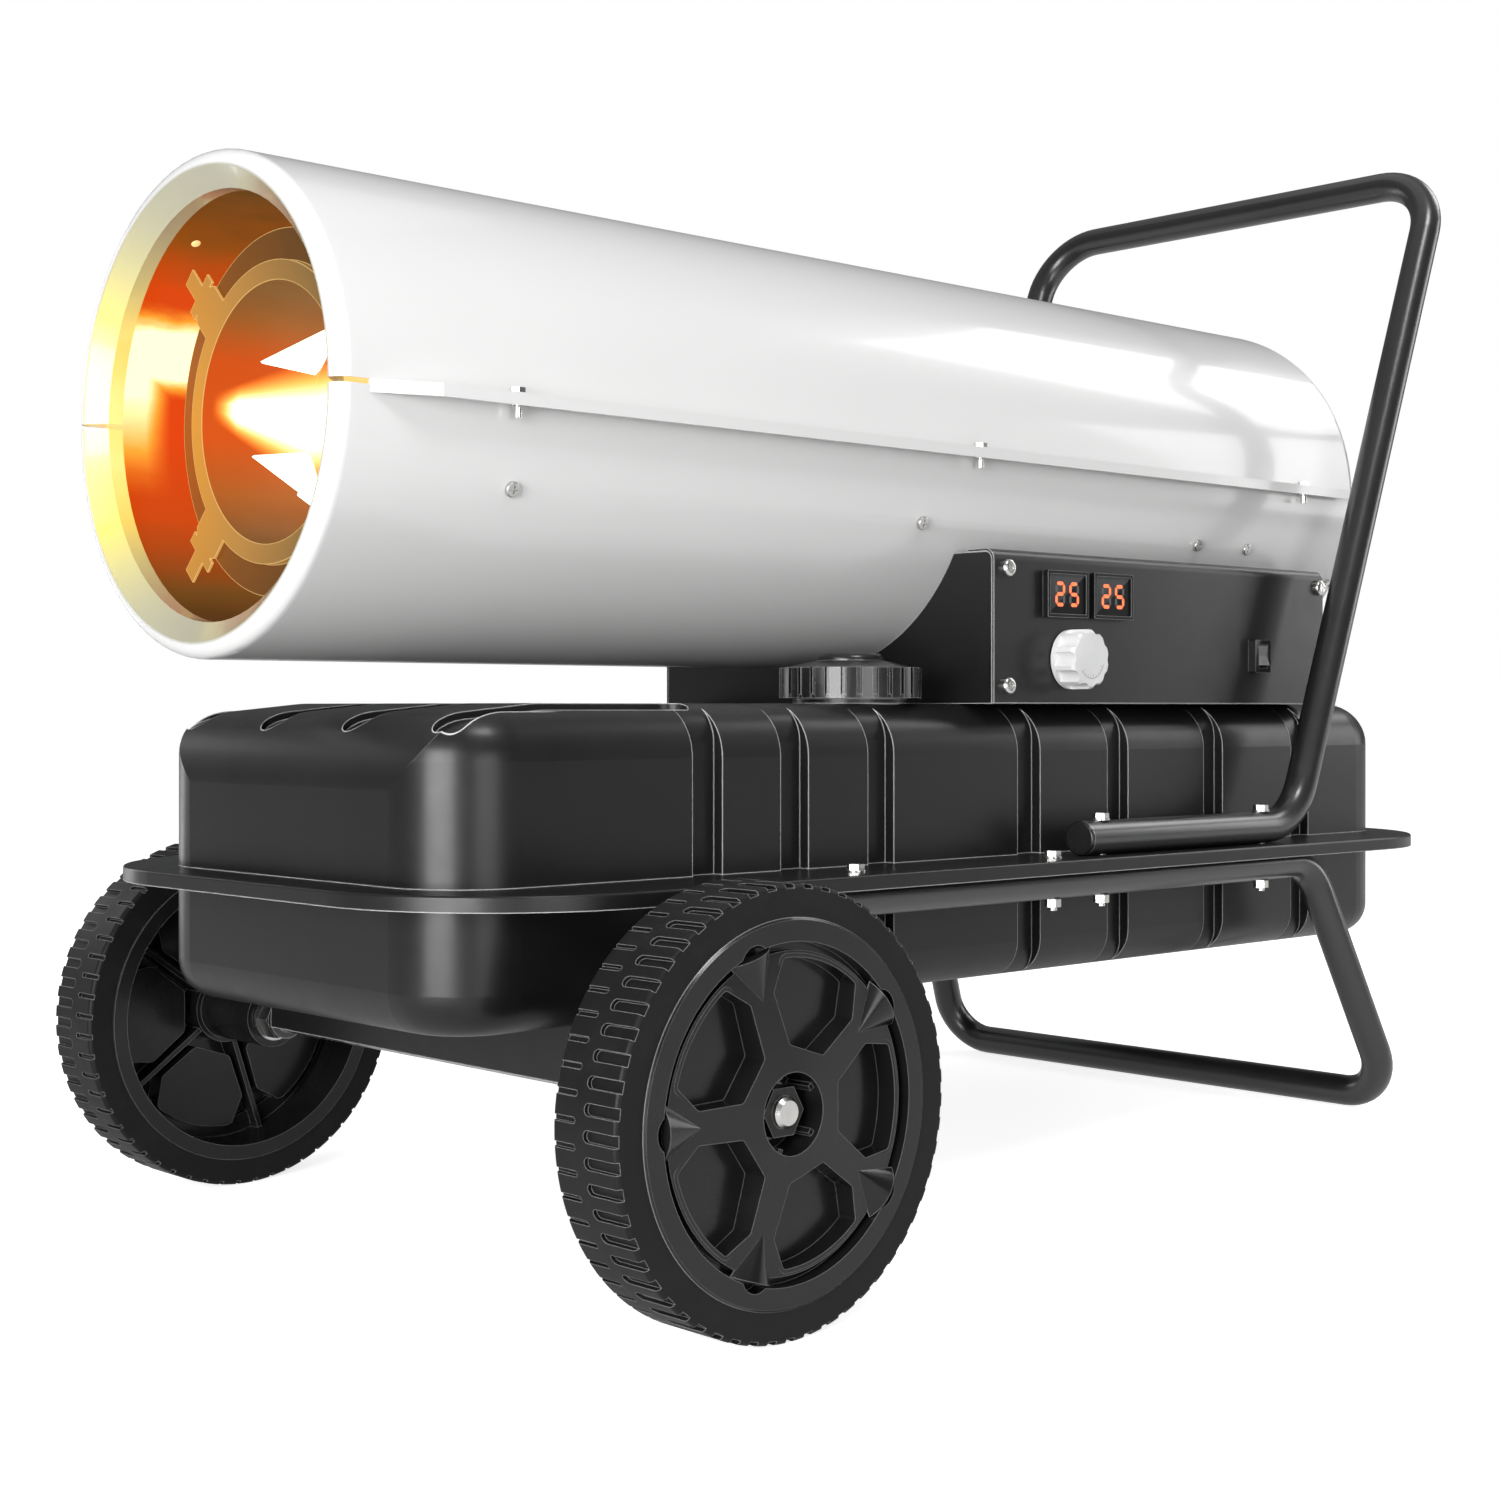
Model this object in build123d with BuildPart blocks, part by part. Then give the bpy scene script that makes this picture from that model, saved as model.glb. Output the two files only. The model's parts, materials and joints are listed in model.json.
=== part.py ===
from build123d import *
import os
from math import asin, atan2, cos, degrees, radians, sin, sqrt, tan

# Forced air heater on two wheels: a round burner barrel over a ribbed fuel tank.
# Sizes are in millimetres. X runs along the barrel from the outlet to the handle,
# Y across it with the controls on -Y, and Z up from the floor.

# ------------------------------------------------------------------ driving dimensions
# Reach along X, measured from the wheel axle
outlet_ahead = 191.0
handle_behind = 873.0
tube_d = 24.5
tube_wall = 1.5

# Barrel
barrel_d = 304.0
barrel_length = 1026.0
barrel_lift = 26.0
barrel_sheet = 1.5
nose_radius = 9.0
nose_turn = 10.0
outlet_inset = 22.5
outlet_collar = 10.0
outlet_lip_depth = 11.0
tail_radius = 10.0
tail_lip = 6.0
seam_gap = 3.0
flange_reach = 14.0
flange_lip = 6.0
flange_start = 21.0
flange_taper = 40.0
flange_bolt_x = (119.0, 529.0, 935.0)

shell_bolt_d = 5.0
shell_bolt_af = 8.0
shell_bolt_head = 3.5
shell_bolt_length = 14.0
shell_nut_height = 4.0

# Shell screws, from the outlet, and how far below the seam they sit
chamber_screw_x = (126.0, 484.5)
motor_screw_x = (808.0, 875.0)
guard_screw_x = 1011.0
shell_screw_angle = 20.0
guard_screw_angle = 29.5
shell_screw_head_d = 9.5
shell_screw_head = 3.0
shell_screw_length = 12.0
screw_slot = 1.2
bracket_width = 20.0
bracket_rise = 14.0

# Combustion chamber and burner
chamber_inset = 14.0
chamber_sheet = 1.5
chamber_length = 430.0
chamber_cone = 48.0
throat_d = 150.0
air_hole_d = 10.0
air_hole_count = 16
spreader_x = 50.0
spreader_inset = 25.0
spreader_band = 29.0
spreader_plate = 31.0
spreader_lip = 11.0
spreader_step = 6.0
spreader_sheet = 1.5
cup_depth = 80.0
cup_taper = 4.0
cup_hole_d = 70.0
fin_count = 5
fin_turn = 46.0
fin_back = 16.0
fin_tip_r = 50.0
fin_root = 46.0
fin_sheet = 2.0
leg_width = 30.0
leg_notch = 4.0
leg_tab_past = 6.0
leg_tongue = 12.0
head_depth = 32.0
head_floor_d = 64.0
head_slots = 8
head_slot = 22.0
head_slot_turn = 30.0
head_taper = 6.0
nozzle_d = 16.0
nozzle_length = 26.0
nozzle_seat = 12.0
nozzle_orifice = 0.8
nozzle_taper = 2.5
nozzle_hex = 6.0
nozzle_hex_af = 19.0
holder_d = 30.0
holder_length = 34.0
barb_d = 6.0
barb_length = 22.0
barb_offset = 8.0
hose_d = 8.5
hose_bore = 6.4
hose_turn = 14.0
hose_inset = 1.5
air_hose_inset = 16.0
grommet_gap = 1.5
electrode_gap = 14.0
electrode_d = 7.0
electrode_wire = 1.2
electrode_reach = 20.0
electrode_length = 50.0
igniter_drop = 24.0
photocell_d = 9.0
photocell_length = 24.0

# Fan, motor and air pump
fan_inset = 30.0
fan_x = 745.0
fan_blades = 5
fan_pitch = 32.0
fan_hub_d = 46.0
fan_hub_length = 34.0
fan_chord = 52.0
blade_sheet = 2.0
shaft_d = 12.7
motor_d = 116.0
motor_x = 785.0
motor_length = 118.0
motor_ribs = 24
motor_bevel = 6.0
shaft_ahead = 8.0
bracket_sheet = 2.5
pump_d = 84.0
pump_chamber_d = 60.0
pump_rotor_d = 54.0
pump_width = 18.0
pump_wall = 6.0
pump_vane_count = 4
pump_vane_sheet = 3.0
pump_slot = 16.0
pump_port = 24.0
guard_wire = 3.2
guard_band = 8.0
guard_depth = 10.0
guard_rings = 6
guard_spokes = 6

# Tank
tank_ahead = 131.0
tank_length = 995.0
tank_width = 335.4
tank_corner = 55.0
tank_bottom = 160.0
tank_height = 194.0
tank_top_round = 34.0
tank_front_round = 46.0
tank_front_slope = (95.0, 9.0)
tank_bottom_round = 26.0
tank_sheet = 2.0
groove_x = (55.0, 131.0, 212.0, 366.0, 469.0, 590.0, 710.0)
groove_width = 29.0
groove_fade = 8.0
groove_depth = 8.0
slot_width = 24.0
slot_depth = 4.5
slot_pitch = 93.0
slot_start = 15.0
slot_length = 190.0
rim_ahead = 166.5
rim_length = 1046.5
rim_width = 464.0
rim_corner = 128.0
rim_top = 247.0
rim_sheet = 2.0
rim_lip = 9.5
rim_round = 1.5

# Fuel filler
filler_x = 263.0
filler_y = -104.0
neck_d = 74.0
neck_bore = 64.0
neck_flange_d = 80.0
neck_flange = 3.5
neck_height = 17.0
neck_sink = 10.0
neck_thread = 2.0
strainer_d = 58.0
strainer_depth = 80.0
strainer_sheet = 1.0
strainer_slots = 12
strainer_slot = 7.0
gasket_height = 2.5
cap_d = 99.0
cap_skirt = 21.0
cap_dome_d = 47.0
cap_cone = 5.0
cap_dome = 5.0
cap_lugs = 14
cap_lug_depth = 2.6
cap_recess = 3.6
cap_gap = 0.8

# Fuel pickup and drain
pickup_x = 470.0
pickup_y = 110.0
pickup_flange_d = 40.0
pickup_flange = 3.0
pickup_tube_d = 8.0
filter_d = 26.0
filter_height = 26.0
drain_x = 780.0
drain_d = 22.0
drain_depth = 9.0

# Support box and control panel
box_x = 337.0
box_length = 415.0
box_width = 344.0
box_height = 109.0
box_sheet = 2.0
panel_bend = 8.0
panel_fold = 22.0
box_tab = 28.0
panel_screw_x = (14.0, 408.0)
panel_screw_z = (12.5, 95.3)
panel_screw_d = 12.5
panel_screw_head = 4.5
display_size = (46.0, 33.5)
display_x = (413.5, 467.0)
display_z = 432.8
display_proud = 5.0
display_frame = 2.5
display_depth = 16.0
knob_d = 43.0
knob_depth = 20.0
knob_x = 420.0
knob_z = 386.0
knob_lobes = 10
knob_scoop = 3.0
spindle_d = 6.0
thermostat_d = 32.0
thermostat_depth = 18.0
switch_x = 656.0
switch_z = 391.8
switch_size = (21.0, 26.0)
switch_proud = 7.0
switch_depth = 20.0
rocker_size = (11.5, 15.5)
rocker_rise = 5.2
rocker_dip = 3.4
rocker_flank = 0.5
rocker_foot = (2.5, 3.0)
rocker_lean = 8.0
rocker_axis = 4.0
rocker_pin_d = 3.0
rocker_pin = 2.0
rocker_room = 1.5
rocker_well = 12.0
board_size = (90.0, 46.0)
board_x = 560.0
transformer_size = (92.0, 66.0, 44.0)
transformer_x = 610.0
transformer_inset = 46.0
gland_inset = 52.0
gland_z = 386.0
gland_d = 22.0
gland_length = 18.0

# Handle and foot frame
rail_y = 205.5
handle_start = 392.0
handle_turn = 655.0
handle_z = 800.0
handle_turn_radius = 54.0
handle_corner_radius = 52.0
rail_start = 60.0
rail_turn = 676.0
foot_x = 757.0
foot_y = 231.0
foot_z = 39.0
rail_turn_radius = 38.0
foot_corner_radius = 36.0
rim_bolt_x = (162.5, 360.0)
handle_bolt_x = (414.0, 612.5)
bolt_d = 6.0
bolt_head_af = 10.0
bolt_head = 5.0
bolt_flange_d = 13.0
bolt_flange = 1.4
nut_height = 5.5
nut_overhang = 2.5

# Wheels and axle
wheel_d = 254.0
tyre_width = 52.0
wheel_face_y = 311.0
tyre_shoulder = 3.0
tread_groove = (26.0, 6.5)
tread_slit = (19.0, 3.2)
tread_depth = 2.6
tread_count = 56
rim_seat_d = 212.0
rim_edge_d = 217.0
rim_edge = 1.5
drum_wall = 8.0
ring_inner_d = 190.0
ring_groove = 5.0
ring_groove_depth = 8.0
spoke_proud = 2.5
spoke_sheet = 4.0
hub_recess_d = 46.0
hub_recess_depth = 22.0
hub_d = 44.0
hub_inner_y = 222.0
window_radii = (86.0, 68.8, 38.5)
window_angles = (20.5, 28.3, 21.0)
window_depth = 18.5
window_wall = 2.5
spoke_count = 5
right_wheel_turn = 36.0
spike_radii = (66.6, 93.0)
spike_tilt = 25.5
spike_half_angle = 37.3
spike_notch_d = 22.0
spike_seat = 3.0
spoke_slope = 4.5
window_corner = 3.0
web_sheet = 3.5
axle_d = 18.0
axle_nut_af = 27.0
axle_nut_height = 12.0
axle_end = 3.5
washer_d = 34.0
washer_sheet = 2.0
channel_width = 28.0
channel_height = 37.5
channel_sheet = 2.5
strut_sheet = 4.0
strut_width = 28.0

# Clearances
run_gap = 0.05
slip_gap = 0.3
bolt_gap = 0.3
rest_gap = 0.4

# ------------------------------------------------------------------ derived places
# The heater stands nose-up: the foot bar and both wheels rest on the floor.
wheel_r = wheel_d / 2
tube_r = tube_d / 2
barrel_r = barrel_d / 2
tank_top = tank_bottom + tank_height
barrel_z = tank_top + barrel_lift + barrel_r
outlet_d = barrel_d - 2 * outlet_inset
chamber_d = barrel_d - 2 * chamber_inset
spreader_d = chamber_d - 2 * spreader_inset
fan_d = barrel_d - 2 * fan_inset
air_hose_y = barrel_r - air_hose_inset
foot_drop = wheel_r - foot_z
foot_reach = sqrt(foot_x**2 + foot_drop**2)
tilt = degrees(asin((wheel_r - tube_r) / foot_reach) - atan2(foot_drop, foot_x))
nose_side = barrel_r - nose_radius
front_reach = (outlet_ahead - nose_radius) * cos(radians(tilt)) + nose_radius
front_end = front_reach - (barrel_z - nose_side - wheel_r) * sin(radians(tilt))
back_end = handle_behind * cos(radians(tilt)) + (handle_z - wheel_r) * sin(radians(tilt)) + tube_r
x_axle = (front_end - back_end) / 2
x_outlet = x_axle - outlet_ahead
x_tail = x_outlet + barrel_length
barrel_bore_r = barrel_r - barrel_sheet
tank_x = x_axle - tank_ahead + tank_length / 2
rim_x = x_axle - rim_ahead + rim_length / 2
rim_joint = rim_top - rim_sheet
rail_z = rim_joint - rim_sheet - tube_r
grip_z = rim_top + tube_r
box_top = tank_top + box_height
box_front = x_axle + box_x
box_back = box_front + box_length
box_mid = (box_front + box_back) / 2
panel_y = -box_width / 2
gland_y = panel_y + gland_inset
transformer_y = box_width / 2 - transformer_inset
chamber_r = chamber_d / 2
chamber_front = x_outlet + outlet_lip_depth + 3
chamber_back = chamber_front + chamber_length
throat_x = chamber_back + chamber_cone
x_fan = x_outlet + fan_x
x_motor = x_outlet + motor_x
x_pump = x_motor + motor_length
flange_bolt_y = barrel_r + flange_reach / 2

barrel_axis = Axis((0, 0, barrel_z), (1, 0, 0))
barrel_section = Plane(origin=(0, 0, barrel_z), x_dir=(1, 0, 0), z_dir=(0, -1, 0))
stance = Location((x_axle, 0, wheel_r), (0, tilt, 0)) * Location((-x_axle, 0, -wheel_r))

os.makedirs("parts", exist_ok=True)


def write(piece, label):
    """Set the piece down in the standing pose and write it out."""
    standing = piece.part.moved(stance)
    standing.label = label
    export_step(standing, f"parts/{label}.step")


def barrel_ring(x):
    """Plane across the barrel at x, facing the tail, with its own X along +Y."""
    return Plane(origin=(x, 0, barrel_z), x_dir=(0, 1, 0), z_dir=(1, 0, 0))


def side_plane(y, side, x=0.0, z=0.0):
    """Upright plane facing out on one side of the heater."""
    return Plane(origin=(x, y, z), x_dir=(1, 0, 0), z_dir=(0, side, 0))


def radial_plane(x, angle, side, radius):
    """Plane that touches a circle of this radius below the seam, facing out."""
    out = (0, side * cos(radians(angle)), -sin(radians(angle)))
    place = (x, radius * out[1], barrel_z + radius * out[2])
    return Plane(origin=place, x_dir=(1, 0, 0), z_dir=out)


def screw_planes(radius):
    """Places of the shell screws on both sides, facing out of the barrel."""
    places = []
    for side in (-1, 1):
        for screw_x in chamber_screw_x + motor_screw_x:
            places.append(radial_plane(x_outlet + screw_x, shell_screw_angle, side, radius))
        places.append(radial_plane(x_outlet + guard_screw_x, guard_screw_angle, side, radius))
    return places


# ------------------------------------------------------------------ barrel
def shell_face():
    """Half section of the barrel's sheet: collar, lip, nose, wall and rolled tail."""
    nose = (x_outlet + nose_radius, barrel_r - nose_radius)
    tail = (x_tail - tail_radius, barrel_r - tail_radius)
    inner_nose = nose_radius - barrel_sheet
    inner_tail = tail_radius - barrel_sheet
    low, back = -cos(radians(nose_turn)), -sin(radians(nose_turn))
    collar_x = x_outlet + outlet_lip_depth
    collar_end = collar_x + outlet_collar
    collar_r = outlet_d / 2
    tail_r = tail[1] - tail_lip
    with BuildSketch(barrel_section) as face:
        with BuildLine():
            Polyline((collar_end, collar_r + barrel_sheet), (collar_end, collar_r), (collar_x, collar_r),
                     (nose[0] + nose_radius * low, nose[1] + nose_radius * back))
            CenterArc(nose, nose_radius, 180 + nose_turn, -90 - nose_turn)
            Line((nose[0], barrel_r), (tail[0], barrel_r))
            CenterArc(tail, tail_radius, 90, -90)
            Polyline((x_tail, tail[1]), (x_tail, tail_r), (x_tail - barrel_sheet, tail_r),
                     (x_tail - barrel_sheet, tail[1]))
            CenterArc(tail, inner_tail, 0, 90)
            Line((tail[0], barrel_bore_r), (nose[0], barrel_bore_r))
            CenterArc(nose, inner_nose, 90, 90 + nose_turn)
            Polyline((nose[0] + inner_nose * low, nose[1] + inner_nose * back),
                     (collar_x + barrel_sheet / 2, collar_r + barrel_sheet),
                     (collar_end, collar_r + barrel_sheet))
        make_face()
    return face.sketch


def flange_face(reach, level):
    """Plan of both side flanges, tapered in at the outlet end."""
    start = x_outlet + flange_start
    stop = x_tail - tail_radius
    with BuildSketch(Plane.XY.offset(level)) as face:
        with BuildLine():
            Polyline((start, barrel_bore_r), (start, barrel_r), (start + flange_taper, barrel_r + reach),
                     (stop, barrel_r + reach), (stop, barrel_bore_r), close=True)
        make_face()
        mirror(about=Plane.XZ)
    return face.sketch


with BuildPart() as upper_shell:
    add(shell_face())
    revolve(axis=barrel_axis)
    split(bisect_by=Plane.XY.offset(barrel_z + seam_gap / 2), keep=Keep.TOP)
    add(flange_face(flange_reach, barrel_z))
    extrude(amount=seam_gap / 2)
    with BuildSketch(Plane.XY.offset(barrel_z - flange_lip)):
        add(flange_face(flange_reach, barrel_z - flange_lip))
        add(flange_face(flange_reach - barrel_sheet, barrel_z - flange_lip), mode=Mode.SUBTRACT)
    extrude(amount=flange_lip + seam_gap / 2)
    with BuildSketch(Plane.XY.offset(barrel_z - flange_lip)):
        for x in flange_bolt_x:
            with Locations((x_outlet + x, flange_bolt_y), (x_outlet + x, -flange_bolt_y)):
                Circle(shell_bolt_d / 2 + bolt_gap)
    extrude(amount=2 * flange_lip, mode=Mode.SUBTRACT)
write(upper_shell, "upper_shell")

with BuildPart() as lower_shell:
    add(shell_face())
    revolve(axis=barrel_axis)
    split(bisect_by=Plane.XY.offset(barrel_z - seam_gap / 2), keep=Keep.BOTTOM)
    add(flange_face(flange_reach - barrel_sheet - slip_gap, barrel_z - seam_gap / 2))
    extrude(amount=seam_gap / 2)
    with BuildSketch(Plane.XY.offset(barrel_z - flange_lip)):
        for x in flange_bolt_x:
            with Locations((x_outlet + x, flange_bolt_y), (x_outlet + x, -flange_bolt_y)):
                Circle(shell_bolt_d / 2 + bolt_gap)
    extrude(amount=2 * flange_lip, mode=Mode.SUBTRACT)
    for plane in screw_planes(barrel_r - bracket_rise):
        with BuildSketch(plane):
            Circle(shell_bolt_d / 2 + bolt_gap)
    extrude(amount=bracket_rise + barrel_sheet, mode=Mode.SUBTRACT)
    with BuildSketch(Plane.XY.offset(barrel_z - barrel_r)):
        with Locations((x_outlet + outlet_ahead + pickup_x, pickup_y)):
            Circle(hose_d / 2 + grommet_gap)
    extrude(amount=barrel_r * 0.7, mode=Mode.SUBTRACT)
write(lower_shell, "lower_shell")

shell_bolt_rise = barrel_z + seam_gap / 2
with BuildPart() as shell_bolts:
    for x in flange_bolt_x:
        for y in (flange_bolt_y, -flange_bolt_y):
            with BuildSketch(Plane.XY.offset(shell_bolt_rise)):
                with Locations((x_outlet + x, y)):
                    RegularPolygon(shell_bolt_af / 2, 6, major_radius=False)
    extrude(amount=shell_bolt_head)
    for x in flange_bolt_x:
        for y in (flange_bolt_y, -flange_bolt_y):
            with BuildSketch(Plane.XY.offset(shell_bolt_rise)):
                with Locations((x_outlet + x, y)):
                    Circle(shell_bolt_d / 2)
    extrude(amount=-shell_bolt_length)
write(shell_bolts, "shell_bolts")

with BuildPart() as shell_nuts:
    with BuildSketch(Plane.XY.offset(barrel_z - seam_gap / 2)):
        for x in flange_bolt_x:
            with Locations((x_outlet + x, flange_bolt_y), (x_outlet + x, -flange_bolt_y)):
                RegularPolygon(shell_bolt_af / 2, 6, major_radius=False)
                Circle(shell_bolt_d / 2 + run_gap, mode=Mode.SUBTRACT)
    extrude(amount=-shell_nut_height)
write(shell_nuts, "shell_nuts")

with BuildPart() as shell_screws:
    for plane in screw_planes(barrel_r + slip_gap):
        with BuildSketch(plane):
            Circle(shell_screw_head_d / 2)
    extrude(amount=shell_screw_head)
    fillet(shell_screws.faces().filter_by(lambda f: f.area > 60).edges().filter_by(GeomType.CIRCLE), 0.8)
    for plane in screw_planes(barrel_r + slip_gap):
        with BuildSketch(plane):
            Circle(shell_bolt_d / 2)
    extrude(amount=-shell_screw_length)
    for plane in screw_planes(barrel_r + slip_gap + shell_screw_head):
        with BuildSketch(plane):
            RectangleRounded(shell_screw_head_d * 0.6, screw_slot, screw_slot / 2.1)
            RectangleRounded(screw_slot, shell_screw_head_d * 0.6, screw_slot / 2.1)
    extrude(amount=-screw_slot, mode=Mode.SUBTRACT)
write(shell_screws, "shell_screws")


# ------------------------------------------------------------------ burner
with BuildPart() as combustion_chamber:
    with BuildSketch(barrel_section):
        with BuildLine():
            Polyline((chamber_front, chamber_r), (chamber_back, chamber_r), (throat_x, throat_d / 2),
                     (throat_x, throat_d / 2 - chamber_sheet), (chamber_back, chamber_r - chamber_sheet),
                     (chamber_front, chamber_r - chamber_sheet), close=True)
        make_face()
    revolve(axis=barrel_axis)
    with BuildSketch(barrel_ring(chamber_back - slip_gap)):
        with PolarLocations((chamber_d + throat_d) / 4, air_hole_count):
            Circle(air_hole_d / 2)
    extrude(amount=chamber_cone, mode=Mode.SUBTRACT)
write(combustion_chamber, "combustion_chamber")

bracket_reach = barrel_bore_r - chamber_r - 2 * slip_gap
with BuildPart() as chamber_brackets:
    for side in (-1, 1):
        for screw_x in chamber_screw_x:
            with BuildSketch(radial_plane(x_outlet + screw_x, shell_screw_angle, side, chamber_r + rest_gap)):
                Rectangle(bracket_width, bracket_width)
                Circle(shell_bolt_d / 2 + run_gap, mode=Mode.SUBTRACT)
    extrude(amount=bracket_reach - rest_gap)
write(chamber_brackets, "chamber_brackets")

x_spreader = x_outlet + spreader_x
x_band = x_spreader + spreader_step
x_cup = x_spreader + cup_depth
cup_r = spreader_d / 2 - spreader_plate
lip_r = cup_r + spreader_lip
leg_end = chamber_r - chamber_sheet - 2 * slip_gap
leg_tab = spreader_d / 2 + leg_tab_past
fin_root_r = cup_r - cup_taper - 2 * spreader_sheet
fin_depth = cup_depth - fin_back
fin_run = sqrt(fin_depth**2 + (fin_root_r - fin_tip_r)**2)


def fin_plane(turn):
    """Plane of one fin: from its tip, with its own X running back to the root at the cup's floor."""
    run = Vector(fin_depth, fin_root_r - fin_tip_r, 0)
    leaning = Plane(origin=(x_spreader + fin_back, fin_tip_r, 0), x_dir=run, z_dir=run.cross(Vector(0, 0, 1)))
    placed = Location((0, 0, barrel_z), (turn, 0, 0)) * leaning.location
    return Plane(placed)


def leg_face():
    """One leg of the spreader: a notched tab with a tongue that reaches the chamber's wall."""
    root_r = lip_r - 2 * spreader_sheet
    side_y = leg_width / 2
    notch_r = leg_tab - 2 * leg_notch
    upper = [(root_r, side_y), (notch_r - leg_notch, side_y), (notch_r, side_y - leg_notch),
             (notch_r, side_y), (leg_tab, side_y), (leg_tab, leg_tongue / 2), (leg_end, leg_tongue / 2)]
    lower = [(x, -y) for x, y in reversed(upper)]
    with BuildSketch() as face:
        with BuildLine():
            Polyline(*upper, *lower, close=True)
        make_face()
    return face.sketch


with BuildPart() as flame_spreader:
    with BuildSketch(barrel_section):
        with BuildLine():
            Polyline((x_spreader, cup_r - spreader_sheet), (x_spreader, lip_r), (x_band, lip_r),
                     (x_band, spreader_d / 2), (x_band + spreader_band, spreader_d / 2),
                     (x_band + spreader_band, spreader_d / 2 - spreader_sheet),
                     (x_band + spreader_sheet, spreader_d / 2 - spreader_sheet),
                     (x_band + spreader_sheet, lip_r - spreader_sheet),
                     (x_spreader + spreader_sheet, lip_r - spreader_sheet),
                     (x_spreader + spreader_sheet, cup_r), (x_cup, cup_r - cup_taper),
                     (x_cup, cup_hole_d / 2), (x_cup - spreader_sheet, cup_hole_d / 2),
                     (x_cup - spreader_sheet, cup_r - cup_taper - spreader_sheet), close=True)
        make_face()
    revolve(axis=barrel_axis)
    for step in range(fin_count):
        with BuildSketch(fin_plane(fin_turn + 360 / fin_count * step)):
            with BuildLine():
                Polyline((0, 0), (fin_run, fin_root / 2), (fin_run, -fin_root / 2), close=True)
            make_face()
        extrude(amount=fin_sheet / 2, both=True)
    with BuildSketch(barrel_ring(x_spreader)):
        with PolarLocations(0, 4, 45):
            add(leg_face())
    extrude(amount=spreader_sheet)
write(flame_spreader, "flame_spreader")

with BuildPart() as burner_head:
    with BuildSketch(barrel_section):
        with BuildLine():
            Polyline((throat_x + slip_gap, throat_d / 2), (throat_x + slip_gap, head_floor_d / 2),
                     (throat_x + head_depth, head_floor_d / 2 - head_taper),
                     (throat_x + head_depth, holder_d / 2 + rest_gap),
                     (throat_x + head_depth + chamber_sheet, holder_d / 2 + rest_gap),
                     (throat_x + head_depth + chamber_sheet, head_floor_d / 2),
                     (throat_x + slip_gap + chamber_sheet, head_floor_d / 2 + chamber_sheet),
                     (throat_x + slip_gap + chamber_sheet, throat_d / 2), close=True)
        make_face()
    revolve(axis=barrel_axis)
    with BuildSketch(barrel_ring(throat_x)):
        with PolarLocations((head_floor_d + throat_d) / 4, head_slots):
            SlotOverall(head_slot, head_slot / 4, rotation=head_slot_turn)
    extrude(amount=head_depth / 2, mode=Mode.SUBTRACT)
    with BuildSketch(barrel_ring(throat_x + head_depth / 2)):
        with Locations((electrode_gap / 2, igniter_drop), (-electrode_gap / 2, igniter_drop)):
            Circle(electrode_d / 2 + rest_gap)
        with Locations((0, -igniter_drop)):
            Circle(photocell_d / 2)
    extrude(amount=head_depth, mode=Mode.SUBTRACT)
write(burner_head, "burner_head")

holder_x = throat_x + head_depth - holder_length / 2
with BuildPart() as nozzle_holder:
    with BuildSketch(barrel_ring(holder_x)):
        Circle(holder_d / 2)
        Circle(nozzle_d / 2 + run_gap, mode=Mode.SUBTRACT)
    extrude(amount=nozzle_seat)
    with BuildSketch(barrel_ring(holder_x + nozzle_seat)):
        Circle(holder_d / 2)
    extrude(amount=holder_length - nozzle_seat)
    with BuildSketch(barrel_ring(holder_x + holder_length)):
        with Locations((0, barb_offset), (0, -barb_offset)):
            Circle(barb_d / 2)
    extrude(amount=barb_length)
write(nozzle_holder, "nozzle_holder")

with BuildPart() as fuel_nozzle:
    with BuildSketch(barrel_ring(holder_x + nozzle_seat - nozzle_length)):
        Circle(nozzle_d / 2)
        Circle(nozzle_orifice, mode=Mode.SUBTRACT)
    extrude(amount=nozzle_length)
    chamfer(fuel_nozzle.faces().sort_by(Axis.X)[0].edges().sort_by(SortBy.LENGTH)[-1], nozzle_taper)
    with BuildSketch(barrel_ring(holder_x - nozzle_hex)):
        RegularPolygon(nozzle_hex_af / 2, 6, major_radius=False)
        Circle(nozzle_d / 2 - nozzle_taper, mode=Mode.SUBTRACT)
    extrude(amount=nozzle_hex)
write(fuel_nozzle, "fuel_nozzle")

with BuildPart() as igniter:
    for side in (-1, 1):
        with BuildSketch(barrel_ring(holder_x - electrode_reach)):
            with Locations((side * electrode_gap / 2, igniter_drop)):
                Circle(electrode_wire)
        extrude(amount=electrode_reach)
        with BuildSketch(barrel_ring(holder_x - electrode_reach / 4)):
            with Locations((side * electrode_gap / 2, igniter_drop)):
                Circle(electrode_d / 2)
        extrude(amount=electrode_length)
    with BuildSketch(barrel_ring(throat_x + head_depth + chamber_sheet)):
        with Locations((0, igniter_drop)):
            RectangleRounded(electrode_gap + 2 * electrode_d, 2 * electrode_d, electrode_d / 2)
    extrude(amount=bracket_sheet)
write(igniter, "igniter")

with BuildPart() as photocell:
    with BuildSketch(barrel_ring(throat_x + head_depth + chamber_sheet)):
        with Locations((0, -igniter_drop)):
            Rectangle(photocell_d * 1.8, photocell_d * 1.4)
    extrude(amount=bracket_sheet)
    with BuildSketch(barrel_ring(throat_x + head_depth + chamber_sheet + bracket_sheet)):
        with Locations((0, -igniter_drop)):
            Circle(photocell_d / 2)
    extrude(amount=photocell_length)
write(photocell, "photocell")


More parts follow.
